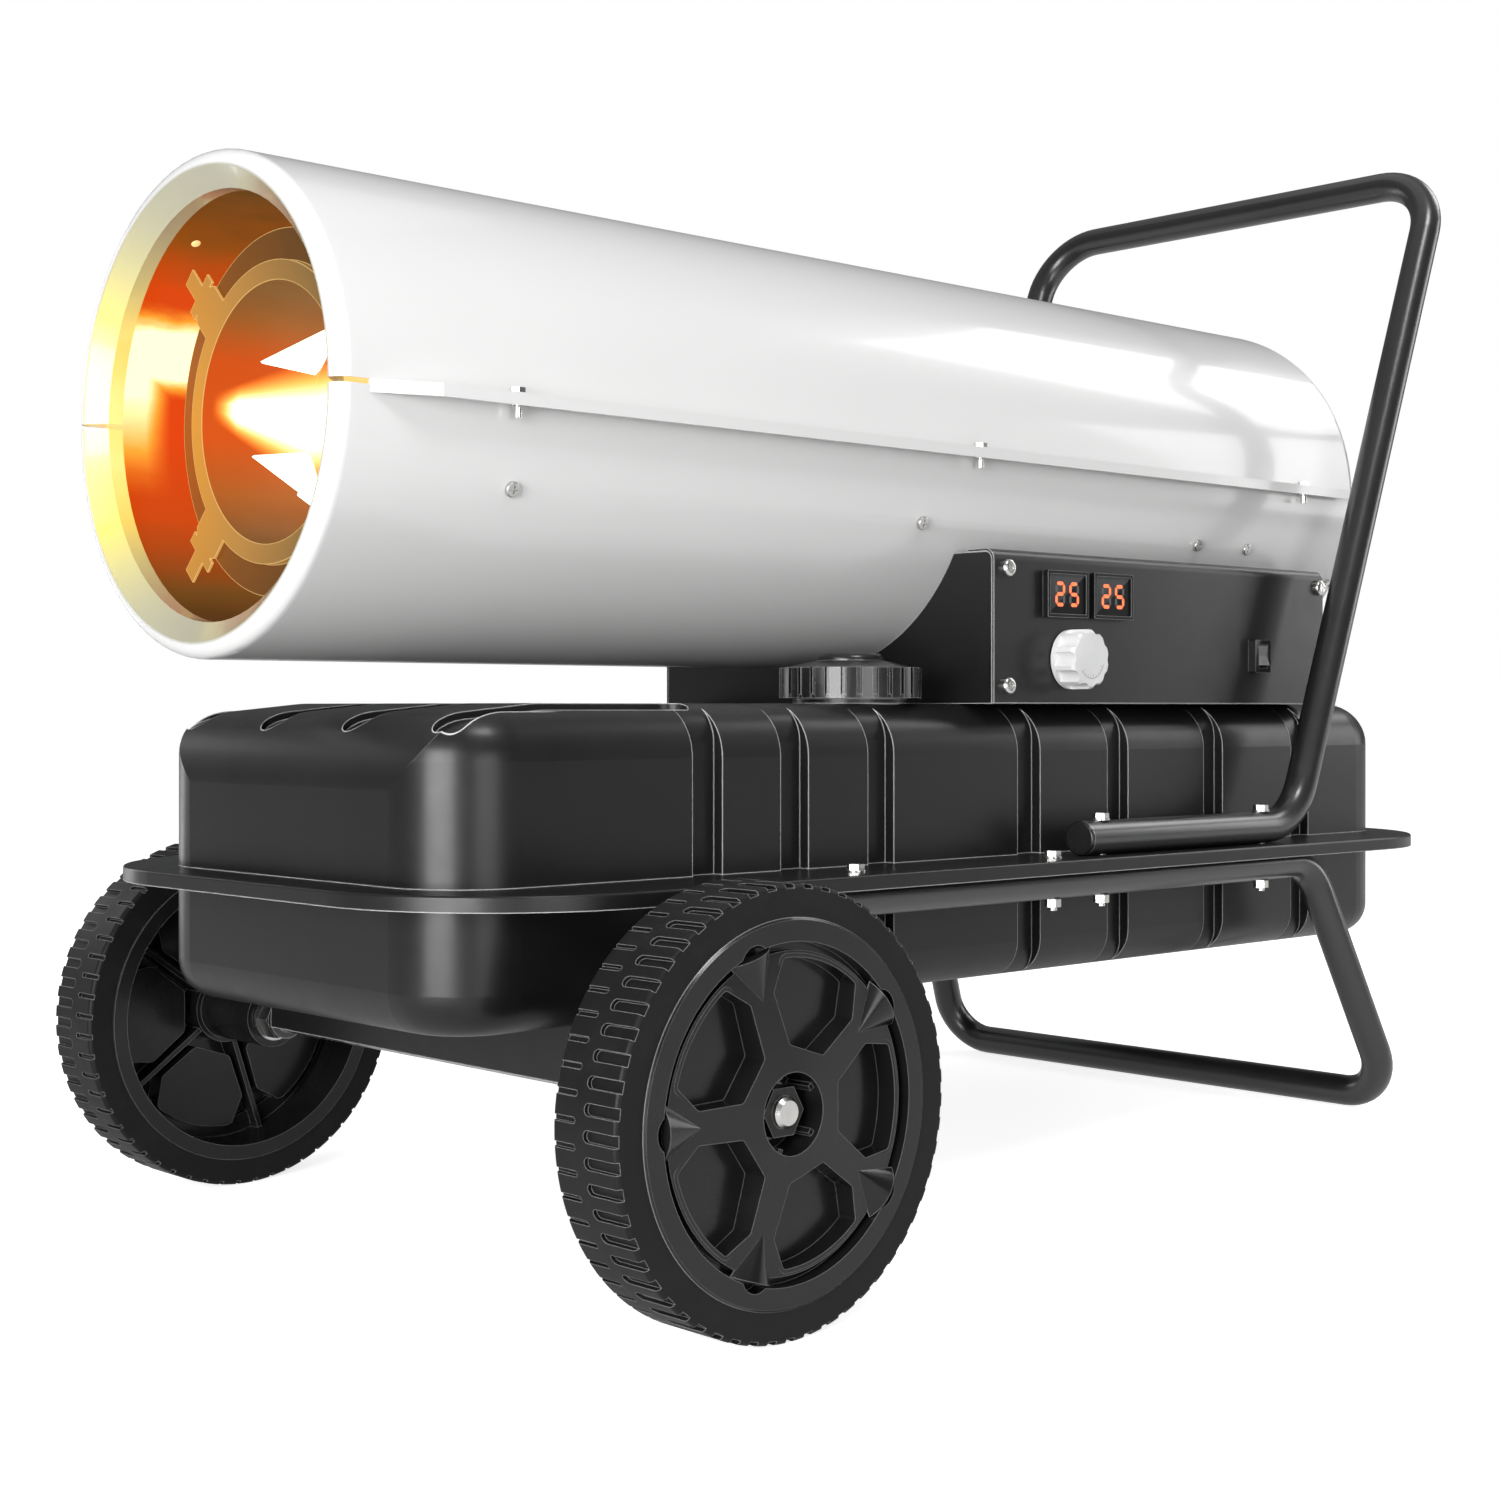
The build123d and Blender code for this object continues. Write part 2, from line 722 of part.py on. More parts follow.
# ------------------------------------------------------------------ fan, motor and pump
with BuildPart() as fan:
    with BuildSketch(barrel_ring(x_fan)):
        Circle(fan_hub_d / 2)
        Circle(shaft_d / 2 + run_gap, mode=Mode.SUBTRACT)
    extrude(amount=fan_hub_length)
    for step in range(fan_blades):
        turn = 360 / fan_blades * step
        reach = fan_d / 2 - fan_hub_d / 2 + blade_sheet
        middle = fan_hub_d / 2 - blade_sheet + reach / 2
        blade_plane = barrel_ring(x_fan + fan_hub_length / 2)
        with Locations(blade_plane.location * Location((0, 0, 0), (0, 0, turn)) *
                       Location((middle, 0, 0), (fan_pitch, 0, 0))):
            Box(reach, fan_chord, blade_sheet)
write(fan, "fan")

with BuildPart() as motor_body:
    with BuildSketch(barrel_ring(x_motor)):
        Circle(motor_d / 2)
        Circle(shaft_d / 2 + run_gap, mode=Mode.SUBTRACT)
    extrude(amount=motor_length)
    chamfer(motor_body.faces().filter_by(Axis.X).edges().filter_by(lambda e: e.radius > shaft_d), motor_bevel)
    with BuildSketch(barrel_ring(x_motor + motor_bevel * 2)):
        with PolarLocations(motor_d / 2, motor_ribs):
            Rectangle(motor_bevel, motor_bevel / 2)
    extrude(amount=motor_length - motor_bevel * 4, mode=Mode.SUBTRACT)
write(motor_body, "motor_body")

shaft_front = x_fan - shaft_ahead
shaft_length = x_pump + pump_wall + pump_width - slip_gap - shaft_front
with BuildPart() as motor_shaft:
    with BuildSketch(barrel_ring(shaft_front)):
        Circle(shaft_d / 2)
    extrude(amount=shaft_length)
    chamfer(motor_shaft.edges().group_by(Axis.X)[0], shaft_d / 12)
write(motor_shaft, "motor_shaft")

with BuildPart() as motor_bracket:
    for screw_x in motor_screw_x:
        with BuildSketch(barrel_ring(x_outlet + screw_x - bracket_width / 2)):
            Circle(motor_d / 2 + slip_gap + bracket_sheet)
            Circle(motor_d / 2 + slip_gap, mode=Mode.SUBTRACT)
        extrude(amount=bracket_width)
        for side in (-1, 1):
            with BuildSketch(radial_plane(x_outlet + screw_x, shell_screw_angle, side,
                                          motor_d / 2 + slip_gap + bracket_sheet / 2)):
                Rectangle(bracket_width, bracket_width)
            extrude(amount=barrel_bore_r - 2 * slip_gap - motor_d / 2 - bracket_sheet / 2)
            with BuildSketch(radial_plane(x_outlet + screw_x, shell_screw_angle, side, barrel_r)):
                Circle(shell_bolt_d / 2 + run_gap)
            extrude(amount=-shell_screw_length, mode=Mode.SUBTRACT)
write(motor_bracket, "motor_bracket")

with BuildPart() as pump_body:
    with BuildSketch(barrel_ring(x_pump)):
        Circle(pump_d / 2)
    extrude(amount=pump_wall + pump_width)
    with BuildSketch(barrel_ring(x_pump + pump_wall)):
        Circle(pump_chamber_d / 2)
    extrude(amount=pump_width, mode=Mode.SUBTRACT)
    with BuildSketch(barrel_ring(x_pump)):
        Circle(shaft_d / 2 + run_gap)
    extrude(amount=pump_wall, mode=Mode.SUBTRACT)
write(pump_body, "pump_body")

rotor_width = pump_width - 2 * slip_gap
with BuildPart() as pump_rotor:
    with BuildSketch(barrel_ring(x_pump + pump_wall + slip_gap)):
        Circle(pump_rotor_d / 2)
        Circle(shaft_d / 2 + run_gap, mode=Mode.SUBTRACT)
        with PolarLocations(pump_rotor_d / 2, pump_vane_count):
            Rectangle(pump_slot, pump_vane_sheet + 2 * run_gap, mode=Mode.SUBTRACT)
    extrude(amount=rotor_width)
write(pump_rotor, "pump_rotor")

vane_reach = pump_slot / 2 + (pump_chamber_d - pump_rotor_d) / 2 - 2 * slip_gap
vane_middle = pump_chamber_d / 2 - slip_gap - vane_reach / 2
with BuildPart() as pump_vanes:
    with BuildSketch(barrel_ring(x_pump + pump_wall + slip_gap)):
        with PolarLocations(vane_middle, pump_vane_count):
            Rectangle(vane_reach - slip_gap, pump_vane_sheet)
    extrude(amount=rotor_width)
write(pump_vanes, "pump_vanes")

x_cover = x_pump + pump_wall + pump_width
with BuildPart() as pump_cover:
    with BuildSketch(barrel_ring(x_cover)):
        Circle(pump_d / 2)
    extrude(amount=pump_wall)
    with BuildSketch(barrel_ring(x_cover + pump_wall)):
        with Locations((0, pump_port)):
            Circle(barb_d / 2)
        with PolarLocations(pump_d / 2 - pump_wall, 4, 45):
            RegularPolygon(shell_bolt_d, 6)
    extrude(amount=barb_length)
    with BuildSketch(barrel_ring(x_cover + pump_wall + shell_nut_height)):
        with PolarLocations(pump_d / 2 - pump_wall, 4, 45):
            Rectangle(3 * shell_bolt_d, 3 * shell_bolt_d)
    extrude(amount=barb_length, mode=Mode.SUBTRACT)
write(pump_cover, "pump_cover")

x_guard = x_outlet + guard_screw_x
with BuildPart() as rear_guard:
    with BuildSketch(barrel_ring(x_guard - guard_depth / 2)):
        Circle(barrel_bore_r - rest_gap)
        Circle(barrel_bore_r - rest_gap - guard_band, mode=Mode.SUBTRACT)
    extrude(amount=guard_depth)
    for step in range(1, guard_rings):
        ring = (barrel_bore_r - guard_wire) / guard_rings * step
        with BuildSketch(barrel_ring(x_guard)):
            Circle(ring + guard_wire / 2)
            Circle(ring - guard_wire / 2, mode=Mode.SUBTRACT)
        extrude(amount=guard_wire)
    with BuildSketch(barrel_ring(x_guard - guard_wire / 2)):
        for step in range(guard_spokes // 2):
            Rectangle(2 * (barrel_bore_r - guard_band + guard_wire), guard_wire,
                      rotation=360 / guard_spokes * step)
    extrude(amount=guard_wire)
    for side in (-1, 1):
        with BuildSketch(radial_plane(x_guard, guard_screw_angle, side, barrel_r)):
            Circle(shell_bolt_d / 2 + run_gap)
        extrude(amount=-shell_screw_length, mode=Mode.SUBTRACT)
write(rear_guard, "rear_guard")

barb_x = holder_x + holder_length
air_back = x_cover + pump_wall + barb_length + 2 * hose_turn
air_front = barb_x + barb_length + 2 * hose_turn
air_z = barrel_z + barb_offset
with BuildPart() as air_hose:
    with BuildLine() as air_path:
        FilletPolyline((barb_x + hose_inset, 0, air_z), (air_front, 0, air_z),
                       (air_front, -air_hose_y, air_z), (air_back, -air_hose_y, air_z), (air_back, 0, air_z),
                       (air_back, 0, barrel_z + pump_port), radius=hose_turn)
    with BuildSketch(air_path.line ^ 0):
        Circle(hose_d / 2)
        Circle(hose_bore / 2, mode=Mode.SUBTRACT)
    sweep()
write(air_hose, "air_hose")

fuel_z = barrel_z - barb_offset
x_pickup = x_axle + pickup_x
with BuildPart() as fuel_hose:
    with BuildLine() as fuel_path:
        FilletPolyline((barb_x + hose_inset, 0, fuel_z), (x_pickup, 0, fuel_z), (x_pickup, pickup_y, fuel_z),
                       (x_pickup, pickup_y, tank_top + pickup_flange + hose_inset), radius=hose_turn)
    with BuildSketch(fuel_path.line ^ 0):
        Circle(hose_d / 2)
        Circle(hose_bore / 2, mode=Mode.SUBTRACT)
    sweep()
write(fuel_hose, "fuel_hose")


# ------------------------------------------------------------------ tank
def tank_profile(inset):
    """Block with the tank's side view: the top slopes down to a larger round at the front."""
    run, drop = tank_front_slope
    front, back = tank_x - tank_length / 2 + inset, tank_x + tank_length / 2
    low, high = tank_bottom - groove_depth, tank_top - inset
    with BuildPart(mode=Mode.PRIVATE) as block:
        with BuildSketch(Plane.XZ) as outline:
            with BuildLine():
                Polyline((front, low), (front, high - drop), (front + run, high), (back, high), (back, low),
                         close=True)
            make_face()
            fillet(outline.vertices().sort_by_distance((front, high - drop))[0], tank_front_round - inset)
            fillet(outline.vertices().sort_by_distance((front + run, high))[0], run)
        extrude(amount=tank_width, both=True)
    return block.part


def tank_body(inset, depth):
    """Rounded tank block; depth moves the sides in to the floor of the grooves."""
    width = tank_width - 2 * (inset + depth)
    low = tank_bottom + inset - depth / groove_fade
    high = tank_top - inset + depth / groove_fade
    with BuildPart() as body:
        with BuildSketch(Plane.XY.offset(low)):
            with Locations((tank_x, 0)):
                RectangleRounded(tank_length - 2 * inset, width, tank_corner - inset - depth)
        extrude(amount=high - low)
        fillet(body.faces().sort_by(Axis.Z)[-1].edges(), tank_top_round - inset - depth)
        fillet(body.faces().sort_by(Axis.Z)[0].edges(), tank_bottom_round - inset - depth)
    return body.part


def tank_form(inset):
    """The tank's shape, ribbed at the sides and slotted on top, moved in by the sheet."""
    core = tank_body(inset, groove_depth)
    with BuildPart() as form:
        add(tank_body(inset, 0))
        add(tank_profile(inset), mode=Mode.INTERSECT)
        with BuildPart(mode=Mode.PRIVATE) as slabs:
            with BuildSketch(Plane.XY.offset(tank_bottom - groove_depth)):
                for x in groove_x:
                    with Locations((x_axle + x + groove_width / 2, 0)):
                        Rectangle(groove_width - groove_depth / 2 + 2 * inset, 2 * tank_width)
            extrude(amount=tank_height + 2 * groove_depth)
            add(core, mode=Mode.SUBTRACT)
        add(slabs.part, mode=Mode.SUBTRACT)
        with BuildPart(mode=Mode.PRIVATE) as slots:
            slot_x = tank_x - tank_length / 2 + slot_start + slot_length / 2
            with BuildSketch(Plane.XY.offset(tank_top - tank_front_round)):
                for row in (-1.5, -0.5, 0.5, 1.5):
                    with Locations((slot_x, row * slot_pitch)):
                        SlotOverall(slot_length + 2 * inset, slot_width + 2 * inset)
            extrude(amount=2 * tank_front_round)
            add(tank_profile(inset + slot_depth), mode=Mode.SUBTRACT)
        add(slots.part, mode=Mode.SUBTRACT)
    return form.part


def rim_plan(shrink, level):
    """Plan of the tank's flange."""
    with BuildSketch(Plane.XY.offset(level)) as plan:
        with Locations((rim_x, 0)):
            RectangleRounded(rim_length - 2 * shrink, rim_width - 2 * shrink, rim_corner - shrink)
    return plan.sketch


rail_bolts = [(x_axle + x, side * rail_y) for x in rim_bolt_x for side in (-1, 1)]
handle_bolts = [(x_axle + x, side * rail_y) for x in handle_bolt_x for side in (-1, 1)]
tank_outer = tank_form(0)
tank_inner = tank_form(tank_sheet)

with BuildPart() as tank_upper:
    with BuildSketch(Plane.XY.offset(rim_top - rim_lip)):
        add(rim_plan(0, rim_top - rim_lip))
    extrude(amount=rim_lip)
    fillet(tank_upper.faces().sort_by(Axis.Z)[-1].edges(), rim_round)
    add(tank_outer)
    split(bisect_by=Plane.XY.offset(rim_top - rim_lip), keep=Keep.TOP)
    add(tank_inner, mode=Mode.SUBTRACT)
    with BuildSketch(Plane.XY.offset(rim_top - rim_lip)):
        add(rim_plan(rim_sheet, rim_top - rim_lip))
    extrude(amount=rim_lip - rim_sheet, mode=Mode.SUBTRACT)
    with BuildSketch(Plane.XY.offset(tank_top - tank_top_round)):
        with Locations((x_axle + filler_x, filler_y)):
            Circle(neck_d / 2 + rest_gap)
        with Locations((x_pickup, pickup_y)):
            Circle(filter_d / 2 + 1)
    extrude(amount=2 * tank_top_round, mode=Mode.SUBTRACT)
    with BuildSketch(Plane.XY.offset(rim_joint - rim_sheet)):
        with Locations(*(rail_bolts + handle_bolts)):
            Circle(bolt_d / 2 + bolt_gap)
    extrude(amount=3 * rim_sheet, mode=Mode.SUBTRACT)
write(tank_upper, "tank_upper")

with BuildPart() as tank_lower:
    add(tank_outer)
    split(bisect_by=Plane.XY.offset(rim_joint), keep=Keep.BOTTOM)
    add(rim_plan(rim_sheet + slip_gap, rim_joint - rim_sheet))
    extrude(amount=rim_sheet)
    add(tank_inner, mode=Mode.SUBTRACT)
    with BuildSketch(Plane.XY.offset(rim_joint - 2 * rim_sheet)):
        with Locations(*(rail_bolts + handle_bolts)):
            Circle(bolt_d / 2 + bolt_gap)
    extrude(amount=3 * rim_sheet, mode=Mode.SUBTRACT)
    with BuildSketch(Plane.XY.offset(tank_bottom - tank_sheet)):
        with Locations((x_axle + drain_x, 0)):
            Circle(drain_d / 3 + rest_gap)
    extrude(amount=3 * tank_sheet, mode=Mode.SUBTRACT)
write(tank_lower, "tank_lower")

x_filler = x_axle + filler_x
neck_top = tank_top + neck_height
with BuildPart() as filler_neck:
    with BuildSketch(Plane.XY.offset(tank_top)):
        with Locations((x_filler, filler_y)):
            Circle(neck_flange_d / 2)
    extrude(amount=neck_flange)
    with BuildSketch(Plane.XY.offset(tank_top - neck_sink)):
        with Locations((x_filler, filler_y)):
            Circle(neck_d / 2)
    extrude(amount=neck_sink)
    with BuildSketch(Plane.XY.offset(tank_top)):
        with Locations((x_filler, filler_y)):
            Circle(neck_d / 2 - neck_thread)
    extrude(amount=neck_height)
    for turn in range(3):
        with BuildSketch(Plane.XY.offset(tank_top + neck_flange + neck_thread * (1 + 2 * turn))):
            with Locations((x_filler, filler_y)):
                Circle(neck_d / 2)
        extrude(amount=neck_thread)
    with BuildSketch(Plane.XY.offset(tank_top - neck_sink)):
        with Locations((x_filler, filler_y)):
            Circle(neck_bore / 2 - neck_thread)
    extrude(amount=neck_sink + neck_height, mode=Mode.SUBTRACT)
    with BuildSketch(Plane.XY.offset(tank_top - neck_sink + neck_flange)):
        with Locations((x_filler, filler_y)):
            Circle(neck_bore / 2)
    extrude(amount=neck_sink + neck_height, mode=Mode.SUBTRACT)
write(filler_neck, "filler_neck")

strainer_top = tank_top - neck_sink + neck_flange + tank_sheet
with BuildPart() as filler_strainer:
    with BuildSketch(Plane.XY.offset(strainer_top)):
        with Locations((x_filler, filler_y)):
            Circle(neck_bore / 2 - slip_gap)
    extrude(amount=-tank_sheet)
    with BuildSketch(Plane.XY.offset(strainer_top)):
        with Locations((x_filler, filler_y)):
            Circle(strainer_d / 2)
    extrude(amount=-strainer_depth)
    with BuildSketch(Plane.XY.offset(strainer_top)):
        with Locations((x_filler, filler_y)):
            Circle(strainer_d / 2 - strainer_sheet)
    extrude(amount=strainer_sheet - strainer_depth, mode=Mode.SUBTRACT)
    with BuildSketch(Plane.XY.offset(strainer_top - 2 * strainer_sheet - tank_sheet)):
        with Locations((x_filler, filler_y)):
            with PolarLocations(strainer_d / 2, strainer_slots):
                Rectangle(4 * strainer_sheet, strainer_slot)
    extrude(amount=8 * strainer_sheet - strainer_depth, mode=Mode.SUBTRACT)
write(filler_strainer, "filler_strainer")

with BuildPart() as cap_gasket:
    with BuildSketch(Plane.XY.offset(neck_top)):
        with Locations((x_filler, filler_y)):
            Circle(neck_d / 2 - neck_thread)
            Circle(neck_bore / 2 - neck_thread, mode=Mode.SUBTRACT)
    extrude(amount=gasket_height)
write(cap_gasket, "cap_gasket")

cap_base = tank_top + neck_flange + rest_gap
skirt_top = cap_base + cap_skirt
with BuildPart() as fuel_cap:
    with BuildSketch(Plane.XY.offset(cap_base)):
        with Locations((x_filler, filler_y)):
            Circle(cap_d / 2)
            with PolarLocations(cap_d / 2, 2 * cap_lugs):
                RectangleRounded(2 * cap_lug_depth, cap_recess, cap_lug_depth / 3, mode=Mode.SUBTRACT)
    extrude(amount=cap_skirt)
    with BuildSketch(Plane.XY.offset(cap_base)):
        with Locations((x_filler, filler_y)):
            Circle(cap_d / 2 - cap_lug_depth / 2)
    extrude(amount=cap_lug_depth)
    with BuildSketch(Plane.XY.offset(skirt_top)):
        with Locations((x_filler, filler_y)):
            Circle(cap_d / 2 - cap_lug_depth / 2)
    with BuildSketch(Plane.XY.offset(skirt_top + cap_cone)):
        with Locations((x_filler, filler_y)):
            Circle(cap_dome_d / 2)
    loft()
    with BuildSketch(Plane.XY.offset(skirt_top + cap_cone)):
        with Locations((x_filler, filler_y)):
            Circle(cap_dome_d / 2)
    extrude(amount=cap_dome)
    fillet(fuel_cap.faces().sort_by(Axis.Z)[-1].edges(), cap_dome * 0.9)
    with BuildSketch(Plane.XY.offset(cap_base)):
        with Locations((x_filler, filler_y)):
            Circle(neck_d / 2 + cap_gap)
    extrude(amount=neck_top + gasket_height - cap_base, mode=Mode.SUBTRACT)
write(fuel_cap, "fuel_cap")

pickup_low = tank_bottom + tank_sheet + filter_height + pickup_flange
with BuildPart() as pickup_tube:
    with BuildSketch(Plane.XY.offset(tank_top)):
        with Locations((x_pickup, pickup_y)):
            Circle(pickup_flange_d / 2)
    extrude(amount=pickup_flange)
    with BuildSketch(Plane.XY.offset(pickup_low)):
        with Locations((x_pickup, pickup_y)):
            Circle(pickup_tube_d / 2)
    extrude(amount=tank_top - pickup_low)
    with BuildSketch(Plane.XY.offset(tank_top)):
        with Locations((x_pickup, pickup_y)):
            Circle(barb_d / 2)
    extrude(amount=pickup_flange + barb_length)
write(pickup_tube, "pickup_tube")

with BuildPart() as pickup_filter:
    with BuildSketch(Plane.XY.offset(pickup_low - filter_height / 2)):
        with Locations((x_pickup, pickup_y)):
            Circle(filter_d / 2)
    extrude(amount=filter_height)
    fillet(pickup_filter.edges(), pickup_flange)
    with BuildSketch(Plane.XY.offset(pickup_low)):
        with Locations((x_pickup, pickup_y)):
            Circle(pickup_tube_d / 2 + run_gap)
    extrude(amount=filter_height, mode=Mode.SUBTRACT)
write(pickup_filter, "pickup_filter")

with BuildPart() as drain_plug:
    with BuildSketch(Plane.XY.offset(tank_bottom)):
        with Locations((x_axle + drain_x, 0)):
            RegularPolygon(drain_d / 2, 6, major_radius=False)
    extrude(amount=-drain_depth)
    with BuildSketch(Plane.XY.offset(tank_bottom)):
        with Locations((x_axle + drain_x, 0)):
            Circle(drain_d / 3)
    extrude(amount=drain_depth)
write(drain_plug, "drain_plug")


# ------------------------------------------------------------------ support box and panels
box_low = tank_top
box_half = box_width / 2 - box_sheet
box_lid = box_top - box_sheet
x_hose = x_pickup


def box_side(half, low, high, saddle, x):
    """Section of the box across the heater, hollowed for the barrel."""
    with BuildSketch(Plane(origin=(x, 0, 0), x_dir=(0, 1, 0), z_dir=(1, 0, 0))) as section:
        with Locations((0, (low + high) / 2)):
            Rectangle(2 * half, high - low)
        fillet(section.vertices().group_by(Axis.Y)[-1], panel_bend - box_width / 2 + half + slip_gap)
        with Locations((0, barrel_z)):
            Circle(saddle, mode=Mode.SUBTRACT)
    return section.sketch


with BuildPart() as support_box:
    add(box_side(box_half, box_low, box_lid, barrel_r + rest_gap, box_front))
    extrude(amount=box_length, dir=(1, 0, 0))
    add(box_side(box_half - box_sheet, box_low + box_sheet, box_lid - box_sheet,
                 barrel_r + rest_gap + box_sheet, box_front + box_sheet))
    extrude(amount=box_length - 2 * box_sheet, dir=(1, 0, 0), mode=Mode.SUBTRACT)
    with BuildSketch(Plane.XZ):
        with Locations((box_mid, (box_low + box_lid) / 2)):
            Rectangle(box_length - 2 * box_tab, box_lid - box_low - 4 * box_sheet)
    extrude(amount=box_width, both=True, mode=Mode.SUBTRACT)
    with BuildSketch(Plane.XY.offset(box_low - box_sheet)):
        with Locations((x_pickup, pickup_y)):
            Circle(pickup_flange_d / 2 + rest_gap)
    extrude(amount=3 * box_sheet, mode=Mode.SUBTRACT)
    with BuildSketch(Plane.XY.offset(box_low)):
        with Locations((x_hose, pickup_y)):
            Circle(hose_d / 2 + grommet_gap)
    extrude(amount=box_height, mode=Mode.SUBTRACT)
    gland_place = (box_back + box_sheet, gland_y, gland_z)
    with BuildSketch(Plane(origin=gland_place, x_dir=(0, 1, 0), z_dir=(1, 0, 0))):
        Circle(gland_d / 2 - box_sheet)
    extrude(amount=-3 * box_sheet, mode=Mode.SUBTRACT)
write(support_box, "support_box")

corner_places = [(box_front + x, box_low + z) for x in panel_screw_x for z in panel_screw_z]


def window_size(size, room):
    """Width and height inside the frame of a display or the switch, with this room to spare."""
    return size[0] - 2 * display_frame + room, size[1] - 2 * display_frame + room


def panel_plate(side):
    """Side panel with its top edge rolled over the box."""
    out = side * box_width / 2
    near = side * box_half
    back = side * (box_half - panel_fold)
    with BuildPart() as plate:
        with BuildSketch(Plane(origin=(box_front, 0, 0), x_dir=(0, 1, 0), z_dir=(1, 0, 0))) as profile:
            with BuildLine():
                Polyline((out, box_low + rest_gap), (out, box_top), (back, box_top), (back, box_lid),
                         (near, box_lid), (near, box_low + rest_gap), close=True)
            make_face()
            outer = profile.vertices().sort_by_distance((out, box_top))[0]
            fillet(outer, panel_bend)
            inner = profile.vertices().sort_by_distance((near, box_lid))[0]
            fillet(inner, panel_bend - box_sheet)
        extrude(amount=box_length)
        with BuildSketch(side_plane(out, side)):
            with Locations(*[(x, z * -side) for x, z in corner_places]):
                Circle(shell_bolt_d / 2)
        extrude(amount=-2 * box_sheet, mode=Mode.SUBTRACT)
    return plate.part


with BuildPart() as right_panel:
    add(panel_plate(1))
write(right_panel, "right_panel")

with BuildPart() as control_panel:
    add(panel_plate(-1))
    with BuildSketch(side_plane(panel_y, -1)):
        for x in display_x:
            with Locations((x_axle + x, display_z)):
                Rectangle(*window_size(display_size, slip_gap))
        with Locations((x_axle + switch_x, switch_z)):
            Rectangle(*window_size(switch_size, slip_gap))
        with Locations((x_axle + knob_x, knob_z)):
            Circle(spindle_d / 2 + rest_gap)
    extrude(amount=-2 * box_sheet, mode=Mode.SUBTRACT)
write(control_panel, "control_panel")

with BuildPart() as panel_screws:
    for side in (-1, 1):
        with BuildSketch(side_plane(side * box_width / 2, side)):
            with Locations(*[(x, z * -side) for x, z in corner_places]):
                Circle(panel_screw_d / 2)
    extrude(amount=panel_screw_head)
    fillet(panel_screws.faces().filter_by(Axis.Y).filter_by(
        lambda f: abs(f.center().Y) > box_width / 2 + slip_gap).edges(), panel_screw_head * 0.6)
    for side in (-1, 1):
        with BuildSketch(side_plane(side * box_width / 2, side)):
            with Locations(*[(x, z * -side) for x, z in corner_places]):
                Circle(shell_bolt_d / 2 - rest_gap)
    extrude(amount=-box_sheet + run_gap)
    for side in (-1, 1):
        with BuildSketch(side_plane(side * (box_width / 2 + panel_screw_head), side)):
            with Locations(*[(x, z * -side) for x, z in corner_places]):
                Rectangle(panel_screw_d * 0.6, screw_slot)
                Rectangle(screw_slot, panel_screw_d * 0.6)
    extrude(amount=-screw_slot, mode=Mode.SUBTRACT)
write(panel_screws, "panel_screws")

with BuildPart() as display_bezels:
    for x in display_x:
        with BuildSketch(side_plane(panel_y, -1)):
            with Locations((x_axle + x, display_z)):
                RectangleRounded(display_size[0], display_size[1], display_frame / 2)
        extrude(amount=display_proud)
        with BuildSketch(side_plane(panel_y, -1)):
            with Locations((x_axle + x, display_z)):
                Rectangle(display_size[0] - 2 * display_frame, display_size[1] - 2 * display_frame)
        extrude(amount=-display_depth)
        with BuildSketch(side_plane(panel_y - display_proud, -1)):
            with Locations((x_axle + x, display_z)):
                Rectangle(display_size[0] - 2 * display_frame, display_size[1] - 2 * display_frame)
        extrude(amount=-display_frame, mode=Mode.SUBTRACT)
write(display_bezels, "display_bezels")

with BuildPart() as display_windows:
    with BuildSketch(side_plane(panel_y - display_proud + display_frame, -1)):
        for x in display_x:
            with Locations((x_axle + x, display_z)):
                Rectangle(*window_size(display_size, -slip_gap))
    extrude(amount=display_frame / 2)
write(display_windows, "display_windows")

knob_base = panel_y - rest_gap * 2
with BuildPart() as thermostat_knob:
    with BuildSketch(side_plane(knob_base, -1)):
        with Locations((x_axle + knob_x, knob_z)):
            Circle(knob_d / 2)
    extrude(amount=knob_depth)
    fillet(thermostat_knob.faces().sort_by(Axis.Y)[0].edges(), knob_scoop)
    with BuildSketch(side_plane(knob_base - knob_scoop, -1)):
        with Locations((x_axle + knob_x, knob_z)):
            with PolarLocations(knob_d / 2 + knob_scoop, knob_lobes):
                Circle(knob_d / 7)
    extrude(amount=knob_depth, mode=Mode.SUBTRACT)
    with BuildSketch(side_plane(knob_base, -1)):
        with Locations((x_axle + knob_x, knob_z)):
            Circle(spindle_d / 2)
    extrude(amount=-thermostat_depth)
write(thermostat_knob, "thermostat_knob")

with BuildPart() as thermostat_body:
    with BuildSketch(side_plane(panel_y + box_sheet, 1)):
        with Locations((x_axle + knob_x, -knob_z)):
            RectangleRounded(thermostat_d, thermostat_d, thermostat_d / 6)
    extrude(amount=thermostat_depth)
    with BuildSketch(side_plane(panel_y + box_sheet, 1)):
        with Locations((x_axle + knob_x, -knob_z)):
            Circle(spindle_d / 2 + run_gap)
    extrude(amount=thermostat_depth - box_sheet, mode=Mode.SUBTRACT)
write(thermostat_body, "thermostat_body")

rocker_y = panel_y - switch_proud


def rocker_plane(shift):
    """Plane across the rocker's pivot, leaning with the rocker in its rest place."""
    lean = radians(rocker_lean)
    return Plane(origin=(x_axle + switch_x + shift, rocker_y + rocker_axis, switch_z),
                 x_dir=(0, cos(lean), -sin(lean)), z_dir=(1, 0, 0))


